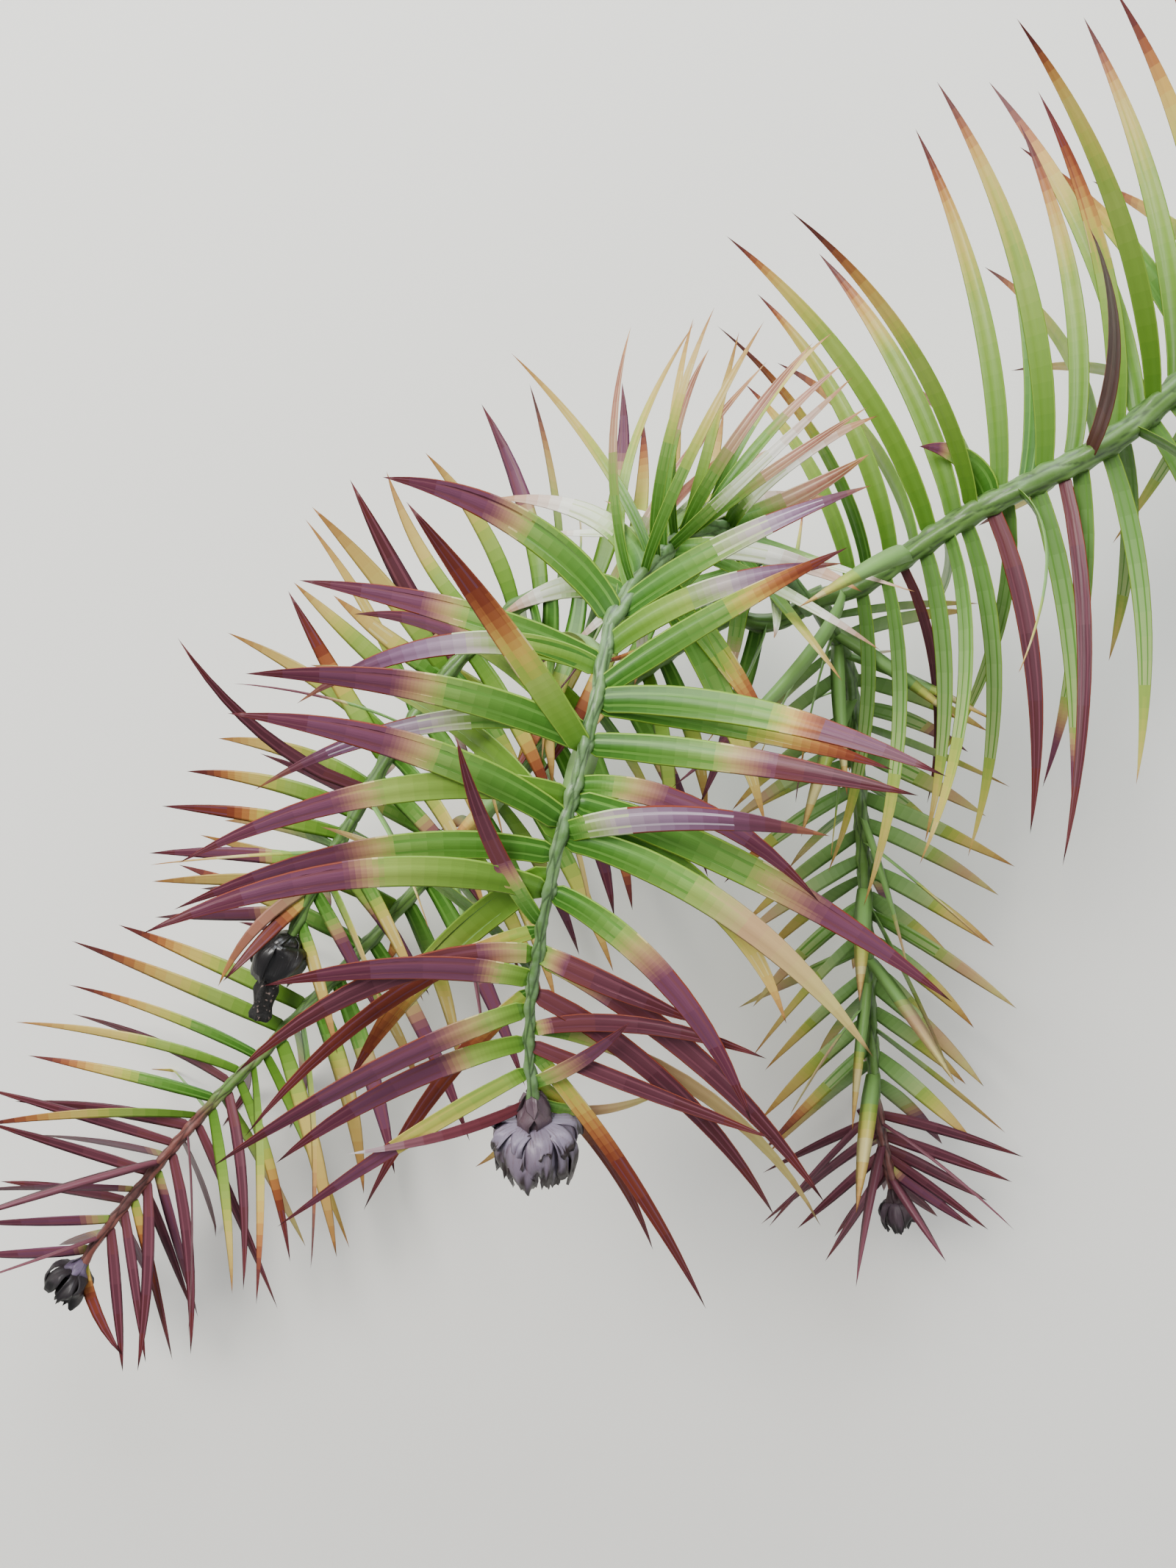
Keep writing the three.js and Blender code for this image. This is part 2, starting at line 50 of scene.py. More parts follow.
# The stems' courses and the leaves' rule, as the frame was made, in millimetres and degrees.
# Three numbers are a value at a shoot's start, middle and end.
shoots = {
    "main_shoot": {
        "course": [
            (129, 89.5, 78), (108, 72.5, 76), (95.5, 62.5, 74),
            (73, 51.5, 68), (55, 40, 60), (46, 37, 56),
        ],
        "radii": (3.1, 2.5), "up": (0, 0, 1), "seed": 11,
        "spacing": 1.75, "from": 4, "until": 3, "turn": 0.3,
        "length": (70, 70, 60), "width": 5.2, "ranks": (0.45, 0.45, 0.3),
        "left": (128, 122, 104), "right": (82, 80, 78), "bend": (24, 28, 36), "sag": (0, -0.1, -0.25),
        "extras": [{
            "share": 0.64, "azimuth": 20, "angle": 112, "bend": 88, "length": 19, "width": 6.4,
            "way": "purple", "green": 0.66,
        }],
    },
    "central_shoot_back": {
        "course": [(43.5, 36.5, 56), (33, 46, 66), (20.5, 46, 81), (10.5, 36.5, 95), (3.5, 26, 102)],
        "radii": (2.2, 1.8), "up": (-0.1, 0.6, 1), "seed": 8728,
        "spacing": 1.97, "from": 3, "until": 0.5, "turn": -1.26,
        "length": (37, 38, 51), "width": 4.6, "ranks": (0.3, 0, 0.1),
        "left": (71, 109, 134), "right": (50, 119, 160), "bend": (22, 31, 60), "sag": (-0.2, 0.3, 0.2),
    },
    "central_shoot_front": {
        "course": [
            (3.5, 26, 102), (0.5, 10, 106), (-5, -11.5, 105),
            (-8, -26.5, 100), (-10, -41, 94), (-9.6, -55.5, 87.5),
        ],
        "radii": (1.8, 1.2), "up": (-0.1, 0.3, 1), "seed": 7057,
        "spacing": 1.87, "from": 0.6, "until": 2.5, "turn": 4.08,
        "length": (55, 61, 49), "width": 4.8, "ranks": (0.53, 0.43, 0.25),
        "left": (123, 126, 80), "right": (152, 102, 84), "bend": (54, 40, 46), "sag": (0.26, -0.4, 0.3),
        "extras": [
            {"share": 0.3, "azimuth": 48, "angle": 146, "bend": 22, "length": 60, "width": 5},
            {"share": 0.6, "azimuth": 72, "angle": 142, "bend": 6, "length": 46, "width": 4},
            {"share": 0.86, "azimuth": 190, "angle": 42, "bend": 10, "length": 46, "width": 4.6},
            {"share": 0.9, "azimuth": 206, "angle": 46, "bend": 8, "length": 60, "width": 5},
            {"share": 0.93, "azimuth": 165, "angle": 104, "bend": -16, "length": 22, "width": 4.6},
        ],
    },
    "right_shoot": {
        "course": [(47.5, 34.5, 54), (55, 22.5, 44), (59.5, -9.5, 35), (62.5, -49, 30), (64, -70, 28.5)],
        "radii": (1.9, 1.4), "up": (0, 0, 1), "seed": 41,
        "spacing": 2.0, "from": 6, "until": 0.5, "turn": 0.9,
        "length": (36, 35, 34), "width": 3.7, "ranks": (0.3, 0.3, 0.3),
        "left": (92, 78, 62), "right": (88, 72, 58), "bend": (18, 14, 10), "sag": (0, 0, -0.2),
    },
    "right_tip": {
        "course": [(64, -70, 28.5), (65.7, -79.5, 28), (68.3, -91, 27.5)],
        "radii": (1.4, 1.1), "up": (0, 0, 1), "seed": 43,
        "spacing": 0.95, "from": 0.8, "until": 1.5, "turn": 2.4,
        "length": (34, 30, 19), "width": 3.1, "ranks": (0.35, 0.35, 0.2),
        "left": (72, 58, 40), "right": (66, 54, 38), "bend": (12, 8, 2), "sag": (0, 0, -0.2),
    },
    "upper_left_shoot": {
        "course": [
            (45.5, 37, 55), (36, 33, 51), (15, 38.5, 47), (-8, 40, 46),
            (-24.5, 28.5, 46), (-41, 7, 45), (-49.5, -7.5, 44),
        ],
        "radii": (2.2, 1.6), "up": (0, 0, 1), "seed": 53,
        "spacing": 2.1, "from": 4, "until": 0.5, "turn": 0.2,
        "length": (42, 40, 40), "width": 3.9, "ranks": (0.35, 0.38, 0.38),
        "left": (108, 106, 92), "right": (84, 82, 76), "bend": (16, 26, 26), "sag": (0, 0, -0.15),
    },
    "upper_left_tip": {
        "course": [(-49.5, -7.5, 44), (-57, -20, 42), (-63.5, -32.5, 39.5)],
        "radii": (1.6, 1.2), "up": (0, 0, 1), "seed": 59,
        "spacing": 1.5, "from": 0.8, "until": 1.5, "turn": 1.9,
        "length": (40, 36, 28), "width": 3.7, "ranks": (0.35, 0.35, 0.25),
        "left": (84, 70, 50), "right": (76, 62, 40), "bend": (16, 12, 6), "sag": (0, 0, -0.2),
    },
    "lower_left_shoot": {
        "course": [
            (27.5, 34, 49), (13, 25, 41), (-8, 9, 35.5),
            (-24, -8, 33), (-48.5, -35, 31), (-70, -57.5, 30),
        ],
        "radii": (2.0, 1.5), "up": (0, 0, 1), "seed": 61,
        "spacing": 2.3, "from": 6, "until": 0.5, "turn": 0.5,
        "length": (40, 46, 50), "width": 4.3, "ranks": (0.38, 0.4, 0.4),
        "left": (92, 84, 76), "right": (84, 76, 66), "bend": (18, 16, 14), "sag": (0, 0, -0.15),
    },
    "lower_left_tip": {
        "course": [(-70, -57.5, 30), (-85, -72.5, 29), (-103, -93.5, 28), (-113, -107, 27.3)],
        "radii": (1.5, 1.1), "up": (0, 0, 1), "seed": 67,
        "spacing": 1.7, "from": 0.8, "until": 1.5, "turn": 1.25,
        "length": (48, 44, 28), "width": 3.7, "ranks": (0.4, 0.38, 0.25),
        "left": (74, 64, 44), "right": (68, 58, 40), "bend": (14, 10, 4), "sag": (0, 0, -0.2),
    },
}

# How the leaves age along each shoot, in its left and its right rank. green is the share of a
# leaf that is still green at the shoot's start, middle and end, ways are the chances of each way
# of turning, and lined is the chance that the furrows show. fine leaves have furrows in their
# shape, slim is a share of the frame's width, and lean a share of its angle to the stem.
ageing = {
    "main_shoot": {
        "fine": True, "spread": 0.08, "slim": 0.84,
        "left": {
            "green": (0.5, 0.52, 0.56), "lined": 0.25, "ways": {"gold": 0.85, "rust": 0.15}, "slim": 0.88,
        },
        "right": {
            "green": (0.72, 0.7, 0.66), "fresh": "faded", "lined": 1, "ways": {"straw": 0.72, "purple": 0.28},
            "slim": 0.8,
        },
    },
    "central_shoot_back": {
        "fine": True, "spread": 0.08, "slim": 0.72,
        "left": {
            "green": (0.6, 0.5, 0.42), "lined": 0.8, "ways": {"silver": 0.5, "bronze": 0.2, "straw": 0.3},
        },
        "right": {"green": (0.6, 0.5, 0.4), "lined": 1, "ways": {"silver": 0.5, "bronze": 0.2, "straw": 0.3}},
    },
    "central_shoot_front": {
        "fine": True, "spread": 0.06, "slim": 1,
        "left": {
            "green": (0.46, 0.46, 0.16), "lined": 0.2, "ways": {"purple": 0.68, "rust": 0.22, "straw": 0.1},
        },
        "right": {
            "green": (0.4, 0.32, 0.06), "lined": 0.85, "ways": {"purple": 0.55, "rust": 0.3, "straw": 0.15},
        },
    },
    "right_shoot": {
        "fine": False, "spread": 0.08, "slim": 1, "lean": 0.84,
        "left": {
            "green": (0.54, 0.5, 0.36), "fresh": "faded", "lined": 0.3,
            "ways": {"straw": 0.6, "tan": 0.3, "rust": 0.1},
        },
        "right": {
            "green": (0.54, 0.5, 0.36), "fresh": "faded", "lined": 0.3,
            "ways": {"straw": 0.6, "tan": 0.3, "purple": 0.1},
        },
    },
    "right_tip": {
        "fine": False, "spread": 0.08, "slim": 0.86,
        "left": {"green": (0.16, 0, 0), "lined": 0.3, "ways": {"dead": 0.85, "purple": 0.15}},
        "right": {"green": (0.16, 0, 0), "lined": 0.3, "ways": {"dead": 0.8, "purple": 0.2}},
    },
    "upper_left_shoot": {
        "fine": False, "spread": 0.1, "slim": 1,
        "left": {
            "green": (0.5, 0.44, 0.36), "lined": 0.2, "ways": {"gold": 0.35, "straw": 0.35, "purple": 0.3},
        },
        "right": {
            "green": (0.5, 0.44, 0.36), "lined": 0.6, "ways": {"rust": 0.2, "straw": 0.55, "purple": 0.25},
        },
    },
    "upper_left_tip": {
        "fine": False, "spread": 0.08, "slim": 1,
        "left": {
            "green": (0.34, 0.28, 0.14), "lined": 0.2, "ways": {"rust": 0.25, "straw": 0.55, "purple": 0.2},
        },
        "right": {
            "green": (0.34, 0.28, 0.14), "lined": 0.5, "ways": {"rust": 0.3, "straw": 0.4, "purple": 0.3},
        },
    },
    "lower_left_shoot": {
        "fine": False, "spread": 0.1, "slim": 1,
        "left": {
            "green": (0.5, 0.42, 0.3), "lined": 0.2, "ways": {"gold": 0.5, "straw": 0.25, "purple": 0.25},
        },
        "right": {
            "green": (0.5, 0.42, 0.3), "lined": 0.6, "ways": {"gold": 0.3, "straw": 0.35, "purple": 0.35},
        },
    },
    "lower_left_tip": {
        "fine": False, "spread": 0.06, "slim": 0.78,
        "left": {"green": (0.34, 0.08, 0), "lined": 0.2, "ways": {"rust": 0.15, "purple": 0.3, "dead": 0.55}},
        "right": {
            "green": (0.34, 0.04, 0), "lined": 0.3, "ways": {"rust": 0.1, "purple": 0.25, "dead": 0.65},
        },
    },
}

# Leaves that stand out in the fan, as the photograph shows them: level, with their faces up. Those
# without a number fill the fork and hang over the stem. Angles in degrees, lengths in millimetres.
placedColumns = ("number", "share", "azimuth", "angle", "bend", "length", "sag", "width", "way", "green")
placedLeaves = {
    "central_shoot_back": [
        (0, 0.997, -35, 141, -78, 51, 0.18, 3, "bronze", 0.2),
        (2, 0.796, -11, 161, -42, 50, 0.07, 2.6, "silver", 0.4),
        (3, 0.669, 19, 169, -59, 47, 0.02, 4.2, "silver", 0.16),
        (5, 0.617, 99, 63, -93, 42, 0.07, 2.4, "bronze", 0.36),
        (8, 0.395, 101, 48, -88, 37, -0.04, 3.4, "silver", 0.2),
        (10, 0.897, -5, 139, -45, 58, 0.57, 1.9, "straw", 0.5),
        (13, 0.732, 80, 103, -66, 37, 0.32, 2.2, "bronze", 0.5),
        (16, 0.54, 96, 94, -60, 41, -0.07, 2.2, "bronze", 0.5),
        (17, 0.806, 215, 93, 23, 37, 0.01, 4.4, "rust", 0.5),
        (18, 0.615, 87, 113, 4, 35, 0, 2, "straw", 0.5),
        (19, 0.721, 182, 148, 80, 37, 0.06, 4, "silver", 0.2),
        (21, 0.764, 89, 71, -75, 44, 0, 2, "straw", 0.5),
        (23, 0.864, -7, 155, 94, 42, 0.02, 4.4, "silver", 0.35),
        (24, 0.448, 106, 147, 56, 31, 0, 4, "bronze", 0.3),
        (25, 0.797, 220, 85, 30, 48, -0.06, 5, "straw", 0.55),
        (27, 0.928, -24, 130, 97, 30, -0.14, 4.6, "silver", 0.4),
        (28, 0.945, -29, 153, -48, 60, 0.31, 2.6, "bronze", 0.3),
        (29, 0.978, 47, 115, 64, 45, -0.05, 5.6, "purple", 0.44),
        (30, 0.968, 147, 155, 34, 47, -0.07, 4.4, "lilac", 0.42),
        (None, 0.88, 72, 108, -52, 44, 0, 2, "bronze", 0.35),
        (None, 0.83, 96, 88, -66, 46, 0, 2, "straw", 0.45),
        (None, 0.7, 110, 72, -80, 44, 0, 2.2, "silver", 0.3),
        (None, 0.66, 78, 96, -50, 40, 0, 2, "straw", 0.4),
        (None, 0.58, 112, 62, -84, 40, 0, 2.2, "bronze", 0.35),
        (None, 0.5, 88, 80, -72, 44, 0, 2, "straw", 0.45),
    ],
    "central_shoot_front": [
        (0, 0.093, 20, 106, 67, 51, -0.01, 3.9, "lilac", 0.3),
        (2, 0.406, 145, 119, 25, 46, 0.12, 4.4, "lilac", 0.1),
        (3, 0.086, 23, 105, 21, 50, 0.07, 5, "purple", 0.46),
        (4, 0.136, 159, 133, 13, 45, 0.03, 4.2, "rust", 0.54),
        (5, 0.774, 42, 73, 21, 58, 0.09, 4.3, "purple", 0.12),
        (6, 0.154, 171, 101, 30, 56, 0.12, 5.1, "rustPurple", 0.5),
        (8, 0.055, 167, 138, 44, 41, 0.14, 4.2, "lilac", 0.4),
        (9, 0.237, 170, 100, 11, 52, 0.04, 4.8, "maroon", 0.4),
        (10, 0.232, 31, 102, 30, 54, 0.11, 5.4, "purple", 0.44),
        (11, 0.16, 196, 98, 14, 51, 0, 4.6, "rust", 0.5),
        (13, 0.386, 39, 111, 31, 55, 0.09, 5.4, "purple", 0.42),
        (14, 0.344, 187, 89, 23, 70, -0.13, 5.4, "purple", 0.44),
        (16, 0.39, 201, 95, 64, 52, 0.22, 5, "straw", 0.5),
        (17, 0.316, 185, 107, 53, 44, 0.05, 4, "purple", 0.14),
        (18, 0.338, 33, 89, 44, 62, 0.18, 4.6, "purple", 0.48),
        (19, 0.414, 179, 93, 44, 62, -0.18, 5, "tan", 0.36),
        (20, 0.593, 41, 138, -24, 37, 0.04, 3.2, "maroon", 0.22),
        (21, 0.447, 23, 88, 37, 62, 0.13, 4.8, "purple", 0.42),
        (22, 0.481, -13, 47, 31, 58, 0.1, 5.4, "rust", 0.5),
        (23, 0.209, 7, 91, 47, 57, -0.01, 3.6, "lilac", 0.34),
        (24, 0.997, 23, 64, -28, 34, 0.1, 2.3, "bleached", 0.05),
        (25, 0.65, 169, 82, -2, 29, -0.05, 4.4, "maroon", 0.05),
        (26, 0.523, 42, 103, 48, 64, 0.11, 5.2, "purple", 0.42),
        (27, 0.519, 169, 82, 50, 51, -0.06, 4.6, "purple", 0.26),
        (29, 0.734, -12, 36, 20, 62, 0.23, 3.3, "rust", 0.03),
        (30, 0.826, 174, 114, 41, 41, 0.09, 3.3, "maroon", 0.03),
        (31, 0.71, 39, 102, 30, 44, 0.01, 4.5, "purple", 0.13),
        (32, 0.656, 189, 73, 32, 67, 0.12, 4.4, "maroon", 0.05),
        (33, 0.997, -21, 18, -32, 22, 0.2, 2.4, "straw", 0.3),
        (34, 0.852, 25, 81, 33, 50, 0, 4, "purple", 0.2),
        (35, 0.858, 171, 71, -5, 44, 0.17, 3.2, "dead", 0.1),
        (36, 0.654, 32, 87, 52, 54, 0.25, 4.4, "maroon", 0.03),
        (37, 0.864, 184, 35, 13, 66, 0.06, 3.1, "rust", 0.08),
        (38, 0.989, 204, 45, -68, 28, 0.05, 2.4, "tan", 0.3),
        (39, 0.92, 19, 64, 9, 54, 0.1, 3.4, "strawPurple", 0.1),
        (40, 0.737, 185, 71, 37, 64, -0.17, 4.2, "dead", 0.1),
        (41, 0.248, 55, 129, 6, 48, 0.18, 4.8, "rust", 0.3),
        (42, 0.6, 10, 59, 34, 66, 0.34, 3.2, "rust", 0.04),
        (43, 0.94, 214, 36, 23, 56, 0.05, 2.8, "rust", 0.06),
        (44, 0.819, 196, 78, 52, 73, 0.12, 3, "tan", 0.1),
        (45, 0.954, 153, 121, -21, 25, 0.01, 3.1, "slowPurple", 0.1),
    ],
    "right_shoot": [
        (None, 0.012, 150, 74, 18, 32, 0, 3.4, "straw", 0.66),
        (None, 0.2, 60, 30, 8, 34, 0, 3.2, "straw", 0.7),
        (None, 0.42, 110, 24, 12, 38, 0, 3.2, "tan", 0.62),
        (None, 0.6, 122, 32, 10, 40, 0, 3.4, "tan", 0.56),
        (None, 0.75, 70, 30, 12, 34, 0, 3, "straw", 0.5),
        (None, 0.03, 36, 92, 20, 34, 0, 3.4, "straw", 0.62),
        (None, 0.045, 96, 66, 26, 32, 0.1, 3.2, "straw", 0.62),
        (None, 0.07, 64, 78, 20, 34, 0, 3.4, "straw", 0.6),
    ],
    "upper_left_shoot": [
        (21, 0.599, 9, 86, -31, 39, 0.01, 3.2, "straw", 0.4),
        (23, 0.685, 19, 110, -5, 43, 0.05, 4.2, "dead", 0.45),
        (25, 0.707, 23, 86, -6, 28, 0, 4, "straw", 0.3),
        (26, 0.698, 31, 110, 14, 43, 0.05, 4.2, "straw", 0.3),
        (28, 0.76, 20, 96, -2, 36, 0.03, 4, "straw", 0.5),
        (31, 0.789, 13, 127, 21, 46, 0.08, 2.6, "straw", 0.3),
        (33, 0.881, 6, 115, -6, 40, 0.15, 4, "rust", 0.35),
        (38, 0.941, 33, 81, -44, 50, 0.15, 3, "dead", 0.1),
        (None, 0.05, 52, 112, 24, 36, 0, 3.6, "straw", 0.66),
        (None, 0.09, 128, 84, 20, 34, 0, 3.6, "straw", 0.6),
        (None, 0.13, 70, 104, 30, 34, 0, 3.4, "straw", 0.6),
        (None, 0.17, 118, 70, 24, 36, 0.1, 3.4, "rust", 0.6),
    ],
    "upper_left_tip": [
        (12, 0.568, 48, 44, 51, 30, 0.14, 2.6, "bronze", 0.04),
        (13, 0.922, 30, 24, 79, 11, 0.06, 1, "silver", 0.02),
        (16, 0.62, 60, 26, 7, 26, 0.08, 3, "rust", 0.05),
    ],
    "lower_left_tip": [
        (34, 0.997, 176, 41, -38, 23, 0.09, 2.8, "rust", 0.03),
        (7, 0.219, 152, 65, 20, 43, 0, 2.8, "dead", 0.1),
        (28, 0.762, 158, 52, 4, 34, -0.1, 2.5, "dead", 0.03),
        (24, 0.659, 200, 56, 6, 36, -0.1, 2.6, "dead", 0.03),
    ],
}
faceUp = 1.6

# How other leaves turn, by their number among the shoot's grown leaves
leafNotes = {
    "main_shoot": {
        23: {"way": "dead"}, 34: {"way": "dead"},
        26: {"way": "dead", "slim": 0.8}, 31: {"slim": 0.7}, 45: {"way": "dead", "slim": 0.7},
        44: {"way": "straw", "green": 0.7}, 48: {"way": "straw", "green": 0.6},
    },
    "central_shoot_back": {
        26: {"way": "straw", "slim": 0.6}, 11: {"way": "silver", "green": 0.35}, 15: {"way": "silver"},
    },
    "central_shoot_front": {
        15: {"way": "straw", "green": 0.6}, 28: {"way": "straw", "green": 0.5},
    },
    "lower_left_tip": {
        0: {"way": "straw", "green": 0.5}, 1: {"way": "gold", "green": 0.36},
        2: {"way": "gold", "green": 0.4}, 4: {"way": "straw", "green": 0.4},
        5: {"way": "rust", "green": 0.4}, 8: {"way": "tan", "green": 0.36},
        9: {"way": "gold", "green": 0.42}, 10: {"way": "straw", "green": 0.5},
        11: {"way": "straw", "green": 0.6}, 12: {"way": "gold", "green": 0.36},
        14: {"way": "dead", "green": 0.04, "slim": 1.25},
    },
}


# The same even random numbers on every run, from a whole-number seed
def seeded(seed):
    state = seed
    mask = 0xFFFFFFFF

    def draw():
        nonlocal state
        state = (state + 0x6D2B79F5) & mask
        mixed = ((state ^ (state >> 15)) * (1 | state)) & mask
        mixed = ((mixed + (((mixed ^ (mixed >> 7)) * (61 | mixed)) & mask)) ^ mixed) & mask
        return (mixed ^ (mixed >> 14)) / 4294967296

    return draw


def lerp(a, b, share):
    return a + (b - a) * share


def along(values, share):
    start, middle, end = values
    if share < 0.5:
        return lerp(start, middle, share * 2)
    return lerp(middle, end, share * 2 - 1)


def unit(vectors):
    return vectors / np.linalg.norm(vectors, axis=-1, keepdims=True)


def smooth(low, high, value):
    x = np.clip((value - low) / (high - low), 0, 1)
    return x * x * (3 - 2 * x)


# A smooth curve through points, read by its even parameter
def throughPoints(points, t):
    points = np.array(points, float)
    ends = np.vstack([2 * points[0] - points[1], points, 2 * points[-1] - points[-2]])
    place = np.clip(np.atleast_1d(t), 0, 1) * (len(points) - 1)
    i = np.minimum(np.floor(place).astype(int), len(points) - 2)
    w = (place - i)[:, None]
    before, here, after, beyond = (ends[i + k] for k in range(4))
    leaving, arriving = (after - before) / 2, (beyond - here) / 2
    return (
        here + leaving * w
        + (3 * (after - here) - 2 * leaving - arriving) * w ** 2
        + (2 * (here - after) + leaving + arriving) * w ** 3
    )


# A stem's middle line, read by its share of the length
class Stem:
    steps = 200
    nearby = 1e-4

    def __init__(self, shoot):
        self.course, self.up = shoot["course"], np.array(shoot["up"], float)
        even = throughPoints(self.course, np.linspace(0, 1, self.steps + 1))
        lengths = np.linalg.norm(np.diff(even, axis=0), axis=1)
        self.lengths = np.concatenate([[0], np.cumsum(lengths)])
        self.total = self.lengths[-1]

    def parameter(self, share):
        return np.interp(np.atleast_1d(share) * self.total, self.lengths, np.linspace(0, 1, self.steps + 1))

    def pointAt(self, share):
        return throughPoints(self.course, self.parameter(share))

    def frameAt(self, share):
        t = self.parameter(share)
        tangent = unit(
            throughPoints(self.course, np.minimum(t + self.nearby, 1))
            - throughPoints(self.course, np.maximum(t - self.nearby, 0))
        )
        upward = unit(self.up - (tangent @ self.up)[:, None] * tangent)
        return tangent, upward, np.cross(tangent, upward)


stems = {name: Stem(shoot) for name, shoot in shoots.items()}

# The cut end of the branch is the frame's mount, which says where the courses lie in the frame
cutStub = {"length": 26, "radius": 3.4, "seed": 5}
mount = frame["record"]["mounts"][0]
mainStart = stems["main_shoot"].pointAt(0)[0]
mainWay = stems["main_shoot"].frameAt(0)[0][0]
cutEnd = mainStart - mainWay * (clearance + cutStub["length"])
origin = np.array(mount["pos_m"]) / mm - cutEnd


def inFrame(points):
    placed = (np.asarray(points) + origin) * mm
    placed[..., 2] = np.maximum(placed[..., 2], 0)
    return placed


# Camera, straight above the branch at the photograph's distance
view = {"lens": 28.07, "sensor": 36, "height": 301}


def addCamera():
    data = bpy.data.cameras.new("camera")
    data.lens = view["lens"]
    data.sensor_width = view["sensor"]
    data.clip_start = 0.01
    camera = bpy.data.objects.new("camera", data)
    bpy.context.scene.collection.objects.link(camera)
    camera.location = (np.array([0, 0, view["height"]]) + origin) * mm
    bpy.context.scene.camera = camera


addCamera()
print("camera placed")


def colour(red, green, blue):
    def linear(part):
        part /= 255
        return part / 12.92 if part <= 0.04045 else ((part + 0.055) / 1.055) ** 2.4
    return (linear(red), linear(green), linear(blue), 1)


def setInputs(node, inputs):
    for key, value in dict(inputs).items():
        node.inputs[key].default_value = value


def newMaterial(name, inputs):
    material = bpy.data.materials.new(name)
    material.use_nodes = True
    shader = material.node_tree.nodes["Principled BSDF"]
    setInputs(shader, inputs)
    return material, material.node_tree, shader


def addNode(tree, kind, inputs=(), **settings):
    node = tree.nodes.new(kind)
    for key, value in settings.items():
        setattr(node, key, value)
    setInputs(node, inputs)
    return node


def addReader(tree, field):
    return addNode(tree, "ShaderNodeAttribute", attribute_name=field)


# A mix of two colours, A and B, of which one may come by a link instead
def addMix(tree, **colours):
    mixed = {socket: colour(*parts) for socket, parts in colours.items()}
    return addNode(tree, "ShaderNodeMix", mixed, data_type="RGBA")


# Each row is a node with its output and the node with the input that it feeds
def link(tree, *rows):
    for source, output, target, entry in rows:
        tree.links.new(source.outputs[output], target.inputs[entry])


# Floor and soft lights, which aren't part of the branch
stageLook = {
    "floor": (226, 224, 218), "floorSize": 6,
    "lamps": [
        {"name": "key", "at": (-0.5, 0.45, 0.95), "size": 0.55, "watts": 19, "tint": (1, 0.98, 0.94)},
        {"name": "sky", "at": (0.1, 1.0, 0.5), "size": 0.8, "watts": 18, "tint": (0.88, 0.94, 1)},
        {"name": "fill", "at": (0.8, -0.5, 0.7), "size": 0.9, "watts": 4, "tint": (1, 1, 1)},
    ],
    "aim": (0, 0, 0.05), "world": (0.92, 0.96, 1, 1), "worldStrength": 0.36,
}


def addStage():
    bpy.ops.object.select_all(action="DESELECT")
    bpy.ops.mesh.primitive_plane_add(size=stageLook["floorSize"])
    floor = bpy.context.object
    floor.name = "floor"
    paper = newMaterial("floorPaper", {"Base Color": colour(*stageLook["floor"]), "Roughness": 0.9})[0]
    floor.data.materials.append(paper)
    for lamp in stageLook["lamps"]:
        data = bpy.data.lights.new(lamp["name"], "AREA")
        data.shape = "DISK"
        data.size, data.energy, data.color = lamp["size"], lamp["watts"], lamp["tint"]
        light = bpy.data.objects.new(lamp["name"], data)
        bpy.context.scene.collection.objects.link(light)
        light.location = lamp["at"]
        towards = Vector(stageLook["aim"]) - Vector(lamp["at"])
        light.rotation_euler = towards.to_track_quat("-Z", "Y").to_euler()
    world = bpy.data.worlds.new("studio")
    world.use_nodes = True
    setInputs(world.node_tree.nodes["Background"], {
        "Color": stageLook["world"], "Strength": stageLook["worldStrength"],
    })
    bpy.context.scene.world = world


addStage()
print("stage set")


# Leaf finishes are plain colours, in ramps of close steps that read as one change of colour. A
# ramp is its number of steps, then its colours from the shoot's side of the leaf to its tip.
leafRamps = {
    "open": (13, (72, 112, 30), (90, 128, 38), (110, 144, 52), (136, 158, 70)),
    "faded": (10, (82, 118, 54), (104, 142, 74), (128, 160, 94), (148, 168, 102)),
    "lined": (10, (46, 90, 20), (60, 106, 28), (78, 120, 42), (110, 144, 66)),
    "toPurple": (14, (130, 152, 70), (162, 142, 88), (144, 104, 84), (104, 60, 74)),
    "purple": (4, (98, 55, 75), (92, 51, 71), (84, 39, 55), (78, 31, 37)),
    "toLilac": (6, (120, 146, 74), (148, 156, 116), (166, 154, 150)),
    "lilac": (14, (152, 136, 146), (124, 98, 122), (100, 66, 90), (84, 43, 56), (126, 80, 54)),
    "bleached": (10, (90, 38, 44), (94, 42, 50), (104, 52, 62), (126, 84, 92), (198, 188, 190)),
    "toRust": (12, (136, 156, 60), (184, 158, 72), (152, 94, 50), (112, 52, 32)),
    "rust": (4, (104, 44, 30), (90, 37, 30), (76, 29, 30)),
    "toStraw": (7, (132, 156, 64), (162, 166, 72), (184, 168, 84)),
    "gold": (10, (186, 166, 86), (186, 146, 72), (146, 86, 50), (92, 42, 38), (82, 34, 36)),
    "straw": (9, (186, 166, 88), (180, 150, 80), (144, 98, 52)),
    "toTan": (7, (130, 152, 72), (156, 152, 92), (168, 144, 100)),
    "tan": (9, (168, 136, 98), (172, 148, 98), (172, 160, 96), (154, 130, 80)),
    # The next two ramps paint the sky's reflection on upright glossy leaves as whitish steps after the green;
    # their tan and brown last steps are the leaves' own dry colour.
    "toSilver": (5, (116, 150, 74), (160, 182, 124), (188, 202, 164)),
    "silver": (10, (200, 210, 182), (216, 214, 202), (184, 156, 140), (160, 114, 70)),
    "toBronze": (4, (112, 142, 60), (138, 134, 80)),
    "bronze": (8, (158, 126, 96), (156, 106, 88), (134, 84, 66), (170, 122, 62)),
    "dead": (5, (94, 49, 54), (82, 43, 55), (72, 33, 42), (80, 30, 28)),
}
